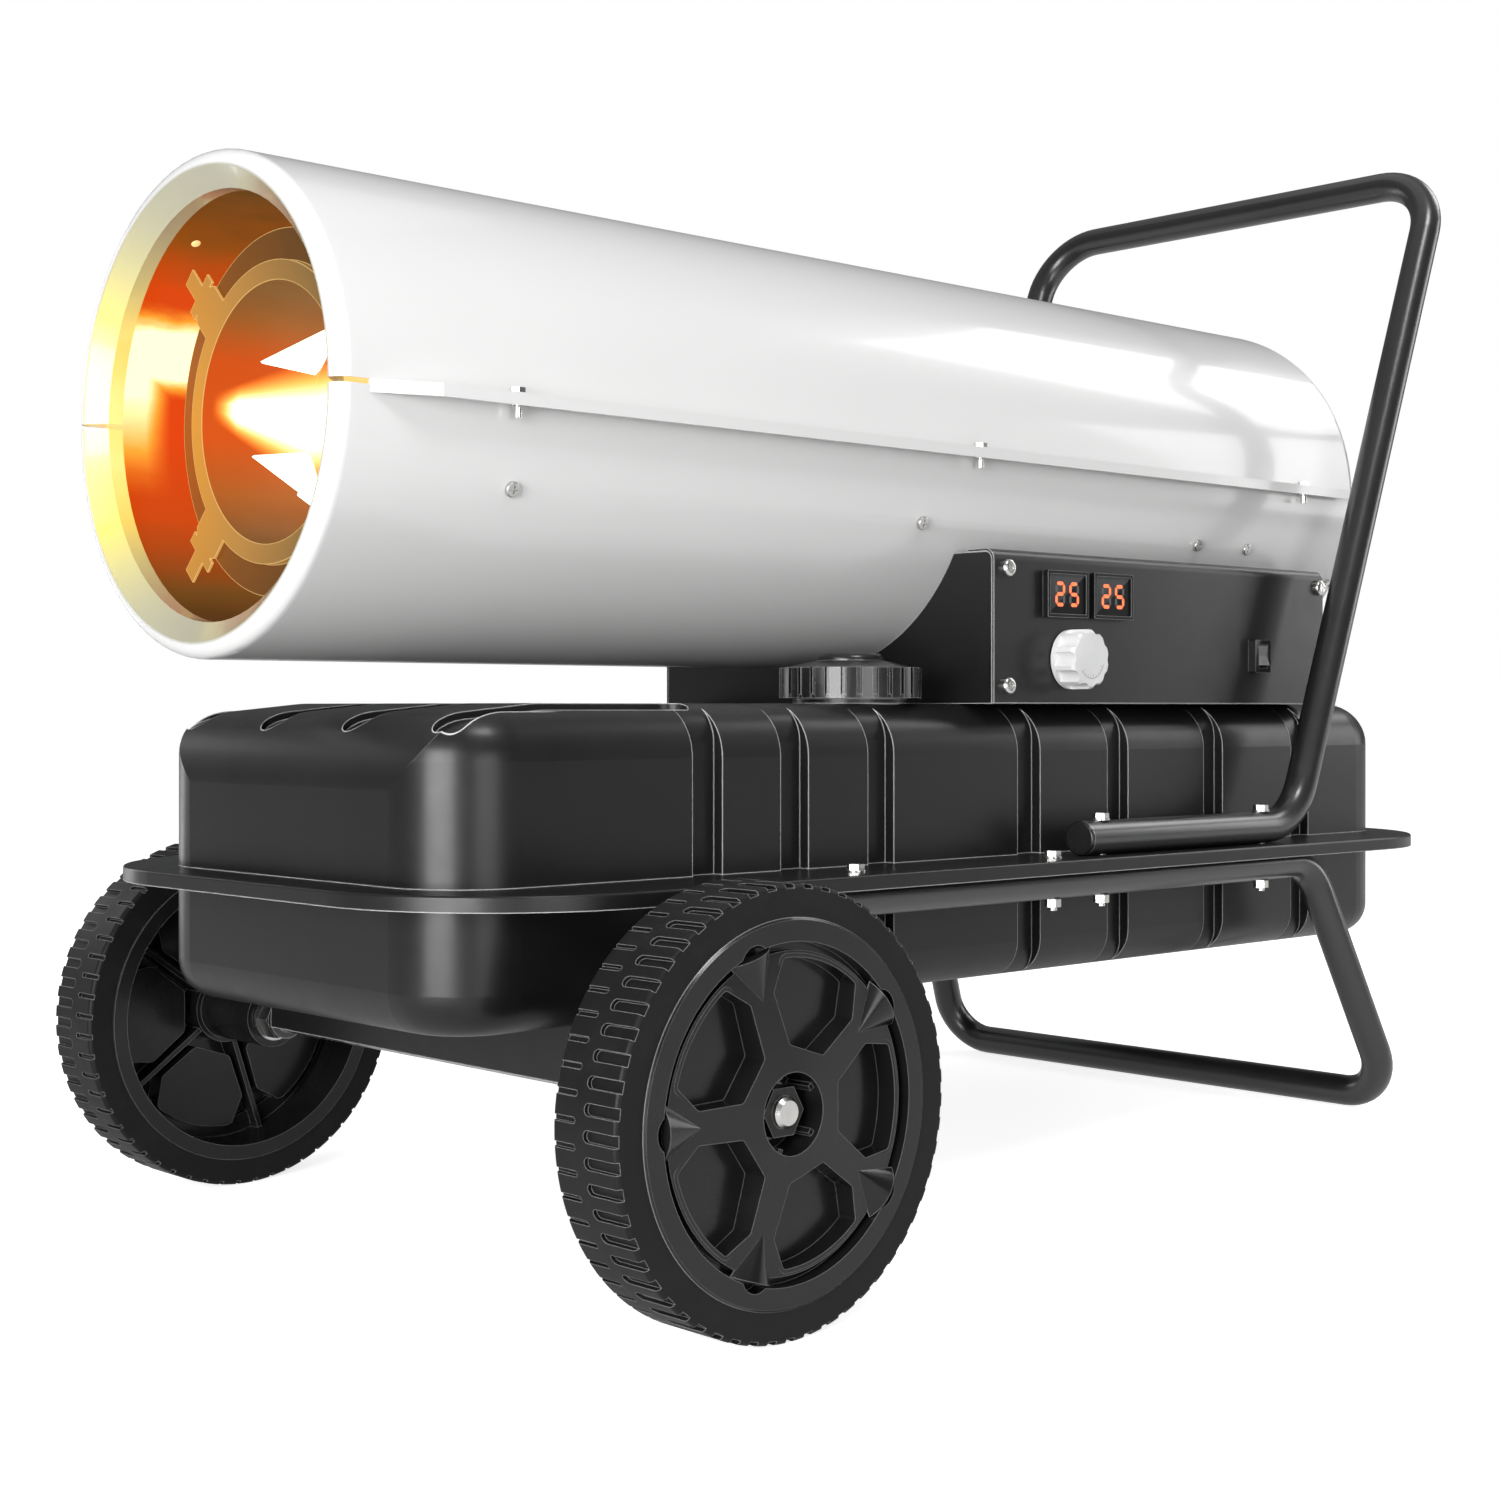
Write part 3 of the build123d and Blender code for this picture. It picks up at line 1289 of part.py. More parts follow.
with BuildPart() as switch_body:
    with BuildSketch(side_plane(panel_y, -1)):
        with Locations((x_axle + switch_x, switch_z)):
            RectangleRounded(switch_size[0], switch_size[1], display_frame / 2)
    extrude(amount=switch_proud)
    with BuildSketch(side_plane(panel_y, -1)):
        with Locations((x_axle + switch_x, switch_z)):
            Rectangle(switch_size[0] - 2 * display_frame, switch_size[1] - 2 * display_frame)
    extrude(amount=-switch_depth)
    with BuildSketch(side_plane(rocker_y, -1)):
        with Locations((x_axle + switch_x, switch_z)):
            Rectangle(rocker_size[0] + 2 * rest_gap, rocker_size[1] + 2 * rocker_room)
    extrude(amount=-rocker_well, mode=Mode.SUBTRACT)
    with BuildSketch(rocker_plane(-rocker_size[0] / 2 - rocker_pin - rest_gap)):
        Circle(rocker_pin_d / 2 + run_gap)
    extrude(amount=rocker_size[0] + 2 * rocker_pin + 2 * rest_gap, mode=Mode.SUBTRACT)
write(switch_body, "switch_body")

with BuildPart() as switch_rocker:
    with BuildSketch(rocker_plane(-rocker_size[0] / 2)):
        with BuildLine():
            half = rocker_size[1] / 2
            Polyline((-rocker_rise, -half), (-rocker_dip, 0), (-rocker_rise, half), (-rocker_flank, half),
                     (rocker_foot[1], rocker_foot[0]), (rocker_foot[1], -rocker_foot[0]),
                     (-rocker_flank, -half), close=True)
        make_face()
    extrude(amount=rocker_size[0])
    with BuildSketch(rocker_plane(-rocker_size[0] / 2 - rocker_pin)):
        Circle(rocker_pin_d / 2)
    extrude(amount=rocker_size[0] + 2 * rocker_pin)
write(switch_rocker, "switch_rocker")

board_y = panel_y + box_sheet + 2 * display_depth
with BuildPart() as control_board:
    with BuildSketch(side_plane(board_y, 1)):
        with Locations((x_axle + board_x, -knob_z)):
            Rectangle(board_size[0], board_size[1])
    extrude(amount=box_sheet)
    with BuildSketch(side_plane(board_y + box_sheet, 1)):
        with Locations((x_axle + board_x, -knob_z)):
            with GridLocations(board_size[0] / 3, board_size[1] / 2, 3, 2):
                Rectangle(display_depth, display_depth / 1.5)
    extrude(amount=display_depth / 2)
    with BuildSketch(side_plane(board_y, -1)):
        with Locations((x_axle + board_x, knob_z)):
            with GridLocations(board_size[0] - 4 * box_sheet, board_size[1] - 4 * box_sheet, 2, 2):
                Circle(box_sheet)
    extrude(amount=2 * display_depth)
write(control_board, "control_board")

with BuildPart() as ignition_transformer:
    with BuildSketch(Plane.XY.offset(box_low + box_sheet)):
        with Locations((x_axle + transformer_x, transformer_y)):
            RectangleRounded(transformer_size[0], transformer_size[1], panel_bend / 2)
    extrude(amount=transformer_size[2])
    with BuildSketch(Plane.XY.offset(box_low + box_sheet + transformer_size[2])):
        with Locations((x_axle + transformer_x, transformer_y)):
            with GridLocations(transformer_size[0] / 2, 0, 2, 1):
                Circle(electrode_d)
    extrude(amount=electrode_d)
write(ignition_transformer, "ignition_transformer")

gland_plane = Plane(origin=(box_back, gland_y, gland_z), x_dir=(0, 1, 0), z_dir=(1, 0, 0))
with BuildPart() as cable_gland:
    with BuildSketch(gland_plane):
        RegularPolygon(gland_d / 2, 6)
        Circle(gland_d / 5, mode=Mode.SUBTRACT)
    extrude(amount=gland_length / 3)
    with BuildSketch(gland_plane):
        Circle(gland_d / 2 - 1.5 * box_sheet)
        Circle(gland_d / 5, mode=Mode.SUBTRACT)
    extrude(amount=gland_length)
    with BuildSketch(gland_plane):
        Circle(gland_d / 2 - 1.5 * box_sheet)
        Circle(gland_d / 5, mode=Mode.SUBTRACT)
    extrude(amount=-gland_length / 2)
write(cable_gland, "cable_gland")


# ------------------------------------------------------------------ handle and foot frame
grip_x = x_axle + handle_behind
with BuildPart() as handle:
    with BuildLine() as grip_path:
        FilletPolyline((x_axle + handle_start, -rail_y, grip_z), (x_axle + handle_turn, -rail_y, grip_z),
                       (grip_x, -rail_y, handle_z), (grip_x, rail_y, handle_z),
                       (x_axle + handle_turn, rail_y, grip_z), (x_axle + handle_start, rail_y, grip_z),
                       radius=(handle_turn_radius, handle_corner_radius, handle_corner_radius,
                               handle_turn_radius))
    with BuildSketch(grip_path.line ^ 0):
        Circle(tube_r)
        Circle(tube_r - tube_wall, mode=Mode.SUBTRACT)
    sweep()
    with BuildSketch(Plane.XY.offset(grip_z - tube_d)):
        with Locations(*handle_bolts):
            Circle(bolt_d / 2 + bolt_gap)
    extrude(amount=2 * tube_d, mode=Mode.SUBTRACT)
write(handle, "handle")

cap_plane = Plane(origin=(x_axle + handle_start, 0, grip_z), x_dir=(0, 1, 0), z_dir=(-1, 0, 0))
with BuildPart() as handle_caps:
    with BuildSketch(cap_plane):
        with Locations((-rail_y, 0), (rail_y, 0)):
            Circle(tube_r)
    extrude(amount=tube_wall * 2)
    fillet(handle_caps.faces().sort_by(Axis.X)[:2].edges(), tube_wall)
    with BuildSketch(cap_plane):
        with Locations((-rail_y, 0), (rail_y, 0)):
            Circle(tube_r - tube_wall - slip_gap)
    extrude(amount=-tube_r)
write(handle_caps, "handle_caps")

strut_top = rail_z + tube_r - strut_width / 2
with BuildPart() as foot_frame:
    with BuildLine() as foot_path:
        FilletPolyline((x_axle + rail_start, -rail_y, rail_z), (x_axle + rail_turn, -rail_y, rail_z),
                       (x_axle + foot_x, -foot_y, foot_z), (x_axle + foot_x, foot_y, foot_z),
                       (x_axle + rail_turn, rail_y, rail_z), (x_axle + rail_start, rail_y, rail_z),
                       radius=(rail_turn_radius, foot_corner_radius, foot_corner_radius, rail_turn_radius))
    with BuildSketch(foot_path.line ^ 0):
        Circle(tube_r)
        Circle(tube_r - tube_wall, mode=Mode.SUBTRACT)
    sweep()
    for side in (-1, 1):
        with BuildSketch(side_plane(side * (rail_y - strut_sheet / 2), 1)):
            with Locations((x_axle, -wheel_r), (x_axle + rail_start + strut_width / 2, rest_gap - strut_top)):
                Circle(strut_width / 2)
            make_hull()
        extrude(amount=side * strut_sheet)
    with BuildSketch(Plane.XZ):
        with Locations((x_axle, wheel_r)):
            Circle(axle_d / 2 + run_gap)
    extrude(amount=2 * rail_y, both=True, mode=Mode.SUBTRACT)
    with BuildSketch(Plane.XY.offset(rail_z - tube_d)):
        with Locations(*(rail_bolts + handle_bolts)):
            Circle(bolt_d / 2 + bolt_gap)
    extrude(amount=2 * tube_d, mode=Mode.SUBTRACT)
write(foot_frame, "foot_frame")

bolt_seats = ((rail_bolts, rim_top), (handle_bolts, grip_z + tube_r))
shank_end = rail_z - tube_r - nut_height - nut_overhang
with BuildPart() as rim_bolts:
    for places, seat in bolt_seats:
        with BuildSketch(Plane.XY.offset(seat)):
            with Locations(*places):
                Circle(bolt_flange_d / 2)
        extrude(amount=bolt_flange)
        with BuildSketch(Plane.XY.offset(seat)):
            with Locations(*places):
                RegularPolygon(bolt_head_af / 2, 6, major_radius=False)
        extrude(amount=bolt_head)
        with BuildSketch(Plane.XY.offset(shank_end)):
            with Locations(*places):
                Circle(bolt_d / 2)
        extrude(amount=seat - shank_end)
write(rim_bolts, "rim_bolts")

with BuildPart() as rim_nuts:
    with BuildSketch(Plane.XY.offset(rail_z - tube_r)):
        with Locations(*(rail_bolts + handle_bolts)):
            RegularPolygon(bolt_head_af / 2, 6, major_radius=False)
            Circle(bolt_d / 2 + run_gap, mode=Mode.SUBTRACT)
    extrude(amount=-nut_height)
write(rim_nuts, "rim_nuts")


# ------------------------------------------------------------------ axle and wheels
wheel_face = wheel_face_y + spoke_proud
recess_floor = wheel_face - hub_recess_depth
axle_reach = wheel_face - axle_end
with BuildPart() as axle:
    with BuildSketch(Plane.XZ):
        with Locations((x_axle, wheel_r)):
            Circle(axle_d / 2)
    extrude(amount=axle_reach, both=True)
    chamfer(axle.edges().filter_by(GeomType.CIRCLE), washer_sheet)
write(axle, "axle")

jam_y = rail_y + strut_sheet / 2
with BuildPart() as axle_washers:
    for y in (jam_y + axle_nut_height, recess_floor):
        for side in (-1, 1):
            with BuildSketch(side_plane(side * y, side, x_axle, wheel_r)):
                Circle(washer_d / 2)
                Circle(axle_d / 2 + run_gap, mode=Mode.SUBTRACT)
    extrude(amount=washer_sheet - rest_gap / 2)
write(axle_washers, "axle_washers")

with BuildPart() as axle_nuts:
    for y in (jam_y, recess_floor + washer_sheet):
        for side in (-1, 1):
            with BuildSketch(side_plane(side * y, side, x_axle, wheel_r)):
                RegularPolygon(axle_nut_af / 2, 6, major_radius=False)
                Circle(axle_d / 2 + run_gap, mode=Mode.SUBTRACT)
    extrude(amount=axle_nut_height)
write(axle_nuts, "axle_nuts")

channel_top = tank_bottom
channel_reach = rail_y - strut_sheet / 2
with BuildPart() as axle_bracket:
    with BuildSketch(Plane.XZ):
        with Locations((x_axle, channel_top - channel_height / 2)):
            Rectangle(channel_width, channel_height)
        with Locations((x_axle, channel_top - channel_height / 2 - channel_sheet)):
            Rectangle(channel_width - 2 * channel_sheet, channel_height, mode=Mode.SUBTRACT)
    extrude(amount=channel_reach, both=True)
write(axle_bracket, "axle_bracket")


def wheel_section(side):
    """Plane through the axle, with its own X out of the wheel and its own Y up."""
    return Plane(origin=(x_axle, 0, wheel_r), x_dir=(0, side, 0), z_dir=(side, 0, 0))


def wheel_plane(y, side):
    """Plane across the wheel at this distance from the middle, facing out."""
    return side_plane(side * y, side, x_axle, wheel_r)


def window_face():
    """One opening between two spokes, in the wheel's own plan."""
    points = []
    for radius, angle in zip(window_radii, window_angles):
        points.append((radius * cos(radians(angle)), radius * sin(radians(angle))))
    outer, middle, inner = points
    with BuildSketch() as face:
        with BuildLine():
            Polyline(outer, middle, inner,
                     (inner[0], -inner[1]), (middle[0], -middle[1]), (outer[0], -outer[1]))
            ThreePointArc((outer[0], -outer[1]), (window_radii[0], 0), outer)
        make_face()
        fillet(face.vertices(), window_corner)
    return face.sketch


def spike(side):
    """Raised half-cone that runs out along one spoke."""
    plane = wheel_plane(wheel_face - spike_seat, side)
    length = (spike_radii[1] - spike_radii[0]) * 2
    cone = Cone(0.01, length * tan(radians(spike_half_angle)), length,
                align=(Align.CENTER, Align.CENTER, Align.MIN))
    aimed = Location((spike_radii[0], 0, 0), (0, 90 + spike_tilt, 0)) * cone
    keep = Box(spike_radii[1] - spike_radii[0], 4 * spoke_sheet * 2, 2 * spoke_sheet,
               align=(Align.MIN, Align.CENTER, Align.CENTER))
    return plane.location, aimed & (Location((spike_radii[0], 0, spoke_sheet / 2)) * keep)


def rim(side):
    """Moulded wheel centre: drum, ring, spokes with windows, hub and webs."""
    drum_in = wheel_face_y - tyre_width
    ring_r = ring_inner_d / 2
    groove_low = wheel_face_y + rim_edge - ring_groove_depth - rim_edge
    groove_back = groove_low - window_wall
    seat_r = rim_seat_d / 2
    drum_r = seat_r - drum_wall
    edge_r = rim_edge_d / 2
    hub_r = hub_d / 2
    bore_r = axle_d / 2 + run_gap
    recess_r = hub_recess_d / 2
    outer_spoke = wheel_face - spoke_sheet
    base, cone = spike(side)
    with BuildPart() as piece:
        with BuildSketch(wheel_section(side)):
            with BuildLine():
                Polyline((hub_inner_y, bore_r), (hub_inner_y, hub_r), (recess_floor - spoke_sheet, hub_r),
                         (recess_floor - spoke_sheet, recess_r + window_wall),
                         (outer_spoke, recess_r + window_wall),
                         (outer_spoke - spoke_sheet, ring_r - 2 * ring_groove),
                         (groove_back, ring_r - 2 * ring_groove), (groove_back, drum_r),
                         (drum_in - rim_edge, drum_r), (drum_in - rim_edge, edge_r), (drum_in, edge_r),
                         (drum_in, seat_r), (wheel_face_y, seat_r), (wheel_face_y, edge_r),
                         (wheel_face_y + rim_edge, edge_r - rim_edge), (wheel_face_y + rim_edge, ring_r),
                         (groove_low, ring_r), (groove_low, ring_r - ring_groove),
                         (wheel_face - spoke_slope, ring_r - ring_groove), (wheel_face, recess_r),
                         (recess_floor, recess_r), (recess_floor, bore_r), close=True)
            make_face()
        revolve(axis=Axis((x_axle, 0, wheel_r), (0, 1, 0)))
        with BuildSketch(wheel_plane(outer_spoke - window_depth, side)):
            with PolarLocations(0, spoke_count):
                add(offset(window_face(), amount=window_wall, mode=Mode.PRIVATE))
        extrude(amount=window_depth)
        with BuildSketch(wheel_plane(outer_spoke - window_depth, side)):
            with PolarLocations((hub_r + drum_r) / 2, spoke_count, 180 / spoke_count):
                Rectangle(drum_r - hub_r + spoke_sheet, web_sheet)
        extrude(amount=window_depth)
        with BuildSketch(wheel_plane(groove_low, side)):
            with PolarLocations(ring_r - ring_groove * 1.4, spoke_count, 180 / spoke_count):
                Circle(spike_notch_d / 2)
            Circle(ring_r - ring_groove * 0.6, mode=Mode.SUBTRACT)
        extrude(amount=ring_groove_depth * 2, mode=Mode.SUBTRACT)
        with BuildSketch(wheel_plane(wheel_face + rim_edge, side)):
            with PolarLocations(0, spoke_count):
                add(window_face())
        extrude(amount=-window_depth, mode=Mode.SUBTRACT)
        for step in range(spoke_count):
            turn = 360 / spoke_count * (step + 0.5)
            add(base * Location((0, 0, 0), (0, 0, turn)) * cone)
    return piece.part


def tread_cuts(size, edge, inward, start):
    """Ring of grooves with a round inner end, open at this edge of the tread."""
    length, width = size
    reach = length + width
    middle = edge + inward * (length - reach / 2)
    with BuildPart(mode=Mode.PRIVATE) as groove:
        with BuildSketch(Plane.XY.offset(wheel_d - tread_depth)):
            with Locations((x_axle, middle)):
                SlotOverall(reach, width, rotation=90)
        extrude(amount=2 * tread_depth)
    cuts = []
    for step in range(tread_count):
        spin = Location((x_axle, 0, wheel_r), (0, 360 / tread_count * (step + start), 0))
        cuts.append(spin * Location((-x_axle, 0, -wheel_r)) * groove.part)
    return cuts


def tyre(side):
    """Rubber tyre with rows of grooves at the outer and the inner shoulder."""
    inner_face = wheel_face_y - tyre_width
    bore_r = rim_seat_d / 2 + run_gap
    outer_row = tread_cuts(tread_groove, side * wheel_face_y, -side, 0)
    inner_row = tread_cuts(tread_slit, side * inner_face, side, 0.5)
    with BuildPart() as piece:
        with BuildSketch(wheel_section(side)):
            with Locations((wheel_face_y - tyre_width / 2, (bore_r + wheel_r) / 2)):
                Rectangle(tyre_width, wheel_r - bore_r)
        revolve(axis=Axis((x_axle, 0, wheel_r), (0, 1, 0)))
        rings = piece.edges().filter_by(GeomType.CIRCLE)
        fillet(rings.filter_by(lambda e: e.radius > wheel_r - slip_gap), tyre_shoulder)
        add(outer_row, mode=Mode.SUBTRACT)
        add(inner_row, mode=Mode.SUBTRACT)
    return piece.part


for side, name, turn in ((-1, "left", 0), (1, "right", right_wheel_turn)):
    spin = Location((x_axle, 0, wheel_r), (0, turn, 0)) * Location((-x_axle, 0, -wheel_r))
    moulded = spin * rim(side)
    rubber = tyre(side)
    with BuildPart() as wheel_rim:
        add(moulded)
    write(wheel_rim, f"{name}_rim")
    with BuildPart() as wheel_tyre:
        add(rubber)
    write(wheel_tyre, f"{name}_tyre")
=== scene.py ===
import json
import math
import bpy
from mathutils import Matrix, Vector


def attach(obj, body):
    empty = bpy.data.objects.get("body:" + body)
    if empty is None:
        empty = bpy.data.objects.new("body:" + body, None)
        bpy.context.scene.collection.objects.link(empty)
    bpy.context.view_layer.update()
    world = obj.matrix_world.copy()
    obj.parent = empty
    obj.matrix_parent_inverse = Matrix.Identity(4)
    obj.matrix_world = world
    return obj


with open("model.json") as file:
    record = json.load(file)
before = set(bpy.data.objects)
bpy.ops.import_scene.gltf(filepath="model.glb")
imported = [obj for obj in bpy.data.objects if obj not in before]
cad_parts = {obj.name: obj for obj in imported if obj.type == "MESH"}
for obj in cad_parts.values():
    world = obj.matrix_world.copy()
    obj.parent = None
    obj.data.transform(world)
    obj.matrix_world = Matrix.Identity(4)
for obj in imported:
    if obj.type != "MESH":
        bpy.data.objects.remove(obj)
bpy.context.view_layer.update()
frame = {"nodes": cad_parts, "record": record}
scene = bpy.context.scene

# ------------------------------------------------------------------ stance
# Level body coordinates: X from the axle, Z from the wheels' lowest point, in millimetres.
WHEEL_R, TUBE_R = 127.0, 12.25
FOOT_X, FOOT_Z, HANDLE_X, HANDLE_Z = 757.0, 39.0, 873.0, 800.0
BARREL_Z, BARREL_R, NOSE_R, OUTLET_X = 532.0, 152.0, 9.0, 191.0
drop = WHEEL_R - FOOT_Z
TILT = math.asin((WHEEL_R - TUBE_R) / math.hypot(FOOT_X, drop)) - math.atan2(drop, FOOT_X)
CT, ST = math.cos(TILT), math.sin(TILT)
front_end = (OUTLET_X - NOSE_R) * CT + NOSE_R - (BARREL_Z - BARREL_R + NOSE_R - WHEEL_R) * ST
back_end = HANDLE_X * CT + (HANDLE_Z - WHEEL_R) * ST + TUBE_R
X_AXLE = (front_end - back_end) / 2

# Places on the object that the materials and small pieces follow
LIP_R, LIP_X = (143.5, 141.5), (-160, -170)
CHAMBER_R, CHAMBER_MOUTH_X = 136.0, (-132.0, -150.0)
HOT_BAND_Z, HOT_BAND_HALF = 50.0, (15.0, 30.0)
RING_X = (-136.5, -135.5)
CUP_TOP_R, CUP_FRONT_X, CUP_BACK_X, CUP_LEAN = 80.0, -141.0, -64.0, 0.051
CUP_WALL_R, CUP_OPEN_X = (81.6, 80.9), (-140.9, -140.3)
FIN_WALL_R, FIN_X = (79.4, 78.4), (-62.8, -63.8)
PANEL_Y, BEZEL_RISE, WINDOW_SINK, WINDOW_THICK, DIGIT_GAP = -172, 5, 2.5, 1.25, 0.7
DISPLAY_X, DISPLAY_Z, DISPLAY_HALF = (413.5, 467.0), 432.8, 23.0


def at(x, y, z):
    """Level body millimetres to the standing pose, in metres."""
    dz = z - WHEEL_R
    return Vector(((X_AXLE + x * CT + dz * ST) / 1000, y / 1000, (WHEEL_R - x * ST + dz * CT) / 1000))


def way(x, y, z):
    """A direction of the level body, turned to the standing pose."""
    return Vector((x * CT + z * ST, y, -x * ST + z * CT))


# ------------------------------------------------------------------ shader helpers
SPAN_KEYS = ("From Min", "From Max", "To Min", "To Max")
SOCKETS = {
    "color": "Base Color", "rough": "Roughness", "metal": "Metallic", "normal": "Normal",
    "coat": "Coat Weight", "coat_rough": "Coat Roughness", "spec": "Specular IOR Level",
    "glow": "Emission Strength", "glow_color": "Emission Color",
}


def tone(level, blue=0.0):
    """A grey, with a little more blue if asked."""
    return (level, level, level + blue)


class Nodes:
    """Short way to write a node tree."""

    def __init__(self, name):
        self.mat = bpy.data.materials.new(name)
        self.mat.use_nodes = True
        self.tree = self.mat.node_tree
        self.tree.nodes.clear()
        self.out = self.tree.nodes.new("ShaderNodeOutputMaterial")
        self.bsdf = self.tree.nodes.new("ShaderNodeBsdfPrincipled")
        self.link(self.bsdf.outputs[0], self.out.inputs["Surface"])
        self.pos = self.new("ShaderNodeNewGeometry").outputs["Position"]

    def new(self, kind, **props):
        node = self.tree.nodes.new(kind)
        for key, value in props.items():
            setattr(node, key, value)
        return node

    def link(self, a, b):
        self.tree.links.new(a, b)

    def put(self, value, socket):
        if hasattr(value, "is_output"):
            self.link(value, socket)
        else:
            socket.default_value = value

    def noise(self, scale, detail=4.0, rough=0.55, vector=None):
        node = self.new("ShaderNodeTexNoise")
        node.inputs["Scale"].default_value = scale
        node.inputs["Detail"].default_value = detail
        node.inputs["Roughness"].default_value = rough
        self.link(vector or self.pos, node.inputs["Vector"])
        return node.outputs["Fac"]

    def stretched(self, sx, sy, sz):
        node = self.new("ShaderNodeMapping")
        node.inputs["Scale"].default_value = (sx, sy, sz)
        self.link(self.pos, node.inputs["Vector"])
        return node.outputs[0]

    def ramp(self, fac, stops):
        node = self.new("ShaderNodeValToRGB")
        while len(node.color_ramp.elements) < len(stops):
            node.color_ramp.elements.new(0.5)
        for element, (place, colour) in zip(node.color_ramp.elements, stops):
            element.position = place
            element.color = colour if len(colour) == 4 else (*colour, 1)
        self.put(fac, node.inputs[0])
        return node.outputs[0]

    def span(self, fac, low, high, out_low, out_high):
        node = self.new("ShaderNodeMapRange")
        for key, value in zip(SPAN_KEYS, (low, high, out_low, out_high)):
            node.inputs[key].default_value = value
        self.put(fac, node.inputs["Value"])
        return node.outputs[0]

    def math(self, kind, a, b=0.0):
        node = self.new("ShaderNodeMath", operation=kind)
        self.put(a, node.inputs[0])
        self.put(b, node.inputs[1])
        return node.outputs[0]

    def mix(self, fac, a, b):
        node = self.new("ShaderNodeMix", data_type="RGBA")
        self.put(fac, node.inputs["Factor"])
        for value, socket in ((a, node.inputs[6]), (b, node.inputs[7])):
            if isinstance(value, tuple) and len(value) == 3:
                value = (*value, 1)
            self.put(value, socket)
        return node.outputs[2]

    def bump(self, height, strength, distance):
        node = self.new("ShaderNodeBump")
        node.inputs["Strength"].default_value = strength
        node.inputs["Distance"].default_value = distance
        self.link(height, node.inputs["Height"])
        return node.outputs[0]

    def edge(self, radius, low, high):
        """Brighter where the surface turns over an edge."""
        bevel = self.new("ShaderNodeBevel", samples=6)
        bevel.inputs["Radius"].default_value = radius
        geometry = self.new("ShaderNodeNewGeometry")
        dot = self.new("ShaderNodeVectorMath", operation="DOT_PRODUCT")
        self.link(bevel.outputs[0], dot.inputs[0])
        self.link(geometry.outputs["Normal"], dot.inputs[1])
        return self.span(self.math("SUBTRACT", 1.0, dot.outputs["Value"]), low, high, 0.0, 1.0)

    def body(self, axis):
        """Distance along a level body axis, in millimetres."""
        offset = self.new("ShaderNodeVectorMath", operation="SUBTRACT")
        self.link(self.pos, offset.inputs[0])
        offset.inputs[1].default_value = at(0, 0, 0)
        dot = self.new("ShaderNodeVectorMath", operation="DOT_PRODUCT")
        self.link(offset.outputs[0], dot.inputs[0])
        direction = {"x": way(1, 0, 0), "y": way(0, 1, 0), "z": way(0, 0, 1)}[axis]
        dot.inputs[1].default_value = direction * 1000
        return dot.outputs["Value"]

    def times(self, a, b):
        return self.math("MULTIPLY", a, b)

    def less(self, a, b):
        return self.math("SUBTRACT", a, b)

    def away(self, a, b):
        """How far one value is from the other."""
        return self.math("ABSOLUTE", self.less(a, b))

    def barrel(self):
        """Place along the barrel, across it and above its axis, and the distance from that axis."""
        x, y = self.body("x"), self.body("y")
        height = self.less(self.body("z"), BARREL_Z)
        reach = self.math("SQRT", self.math("ADD", self.times(y, y), self.times(height, height)))
        return x, y, height, reach

    def set(self, **values):
        for key, value in values.items():
            if isinstance(value, tuple) and len(value) == 3:
                value = (*value, 1)
            self.put(value, self.bsdf.inputs[SOCKETS[key]])


def enamel(name, colour, rough):
    """White stove enamel; the burner's glow on the rolled lip is painted in as colour and emission,
    strongest on the far side.
    """
    n = Nodes(name)
    peel = n.noise(420, 2)
    cloud = n.noise(9, 5)
    dust = n.noise(60, 8, 0.7)
    x, y, height, radius = n.barrel()
    tint = n.mix(n.span(cloud, 0.35, 0.7, 0, 0.3), colour, tuple(c * 0.96 for c in colour))
    tint = n.mix(n.span(dust, 0.7, 0.85, 0, 0.06), tint, (0.45, 0.44, 0.41))
    # Painted glow: the lip is tinted yellow and made to emit where the burner's light falls, strongest on
    # the far side
    lip = n.times(n.span(radius, *LIP_R, 0, 1), n.span(x, *LIP_X, 0, 1))
    glare = n.times(n.span(y, 20, 135, 0.0, 1.0), n.span(n.math("ABSOLUTE", height), 60, 132, 1, 0.12))
    lip_glow = n.ramp(glare, (
        (0.0, (0.34, 0.33, 0.22)), (0.45, (0.5, 0.45, 0.13)), (0.8, (0.72, 0.54, 0.05)),
        (1.0, (0.85, 0.68, 0.14))))
    tint = n.mix(n.times(lip, 0.85), tint, lip_glow)
    n.set(color=tint, rough=n.span(cloud, 0.3, 0.8, rough, rough + 0.04), coat=0.45, coat_rough=0.08,
          glow_color=lip_glow, glow=n.times(lip, n.span(glare, 0.1, 1.0, 0.05, 0.4)),
          normal=n.bump(peel, 0.03, 0.0002))
    return n.mat


def powder(name, colour, rough, edge=0.0016, coat=0.1, rim=0.5, spec=0.28):
    """Powder coat with scuffs; a painted highlight lightens the edges."""
    n = Nodes(name)
    fine = n.noise(900, 3, 0.6)
    cloud = n.noise(7, 5)
    scuff = n.noise(45, 9, 0.72)
    tint = n.mix(n.span(cloud, 0.3, 0.75, 0, 1), colour, tuple(c * 1.5 + 0.001 for c in colour))
    tint = n.mix(n.span(scuff, 0.7, 0.8, 0, 0.1), tint, (0.13, 0.125, 0.12))
    # Painted highlight: edges lightened towards pale grey
    tint = n.mix(n.times(n.edge(edge, 0.03, 0.22), rim), tint, tone(0.8))
    n.set(color=tint, rough=n.span(scuff, 0.25, 0.8, rough - 0.04, rough + 0.08), coat=coat, coat_rough=0.2,
          spec=spec, normal=n.bump(fine, 0.1, 0.0003))
    return n.mat


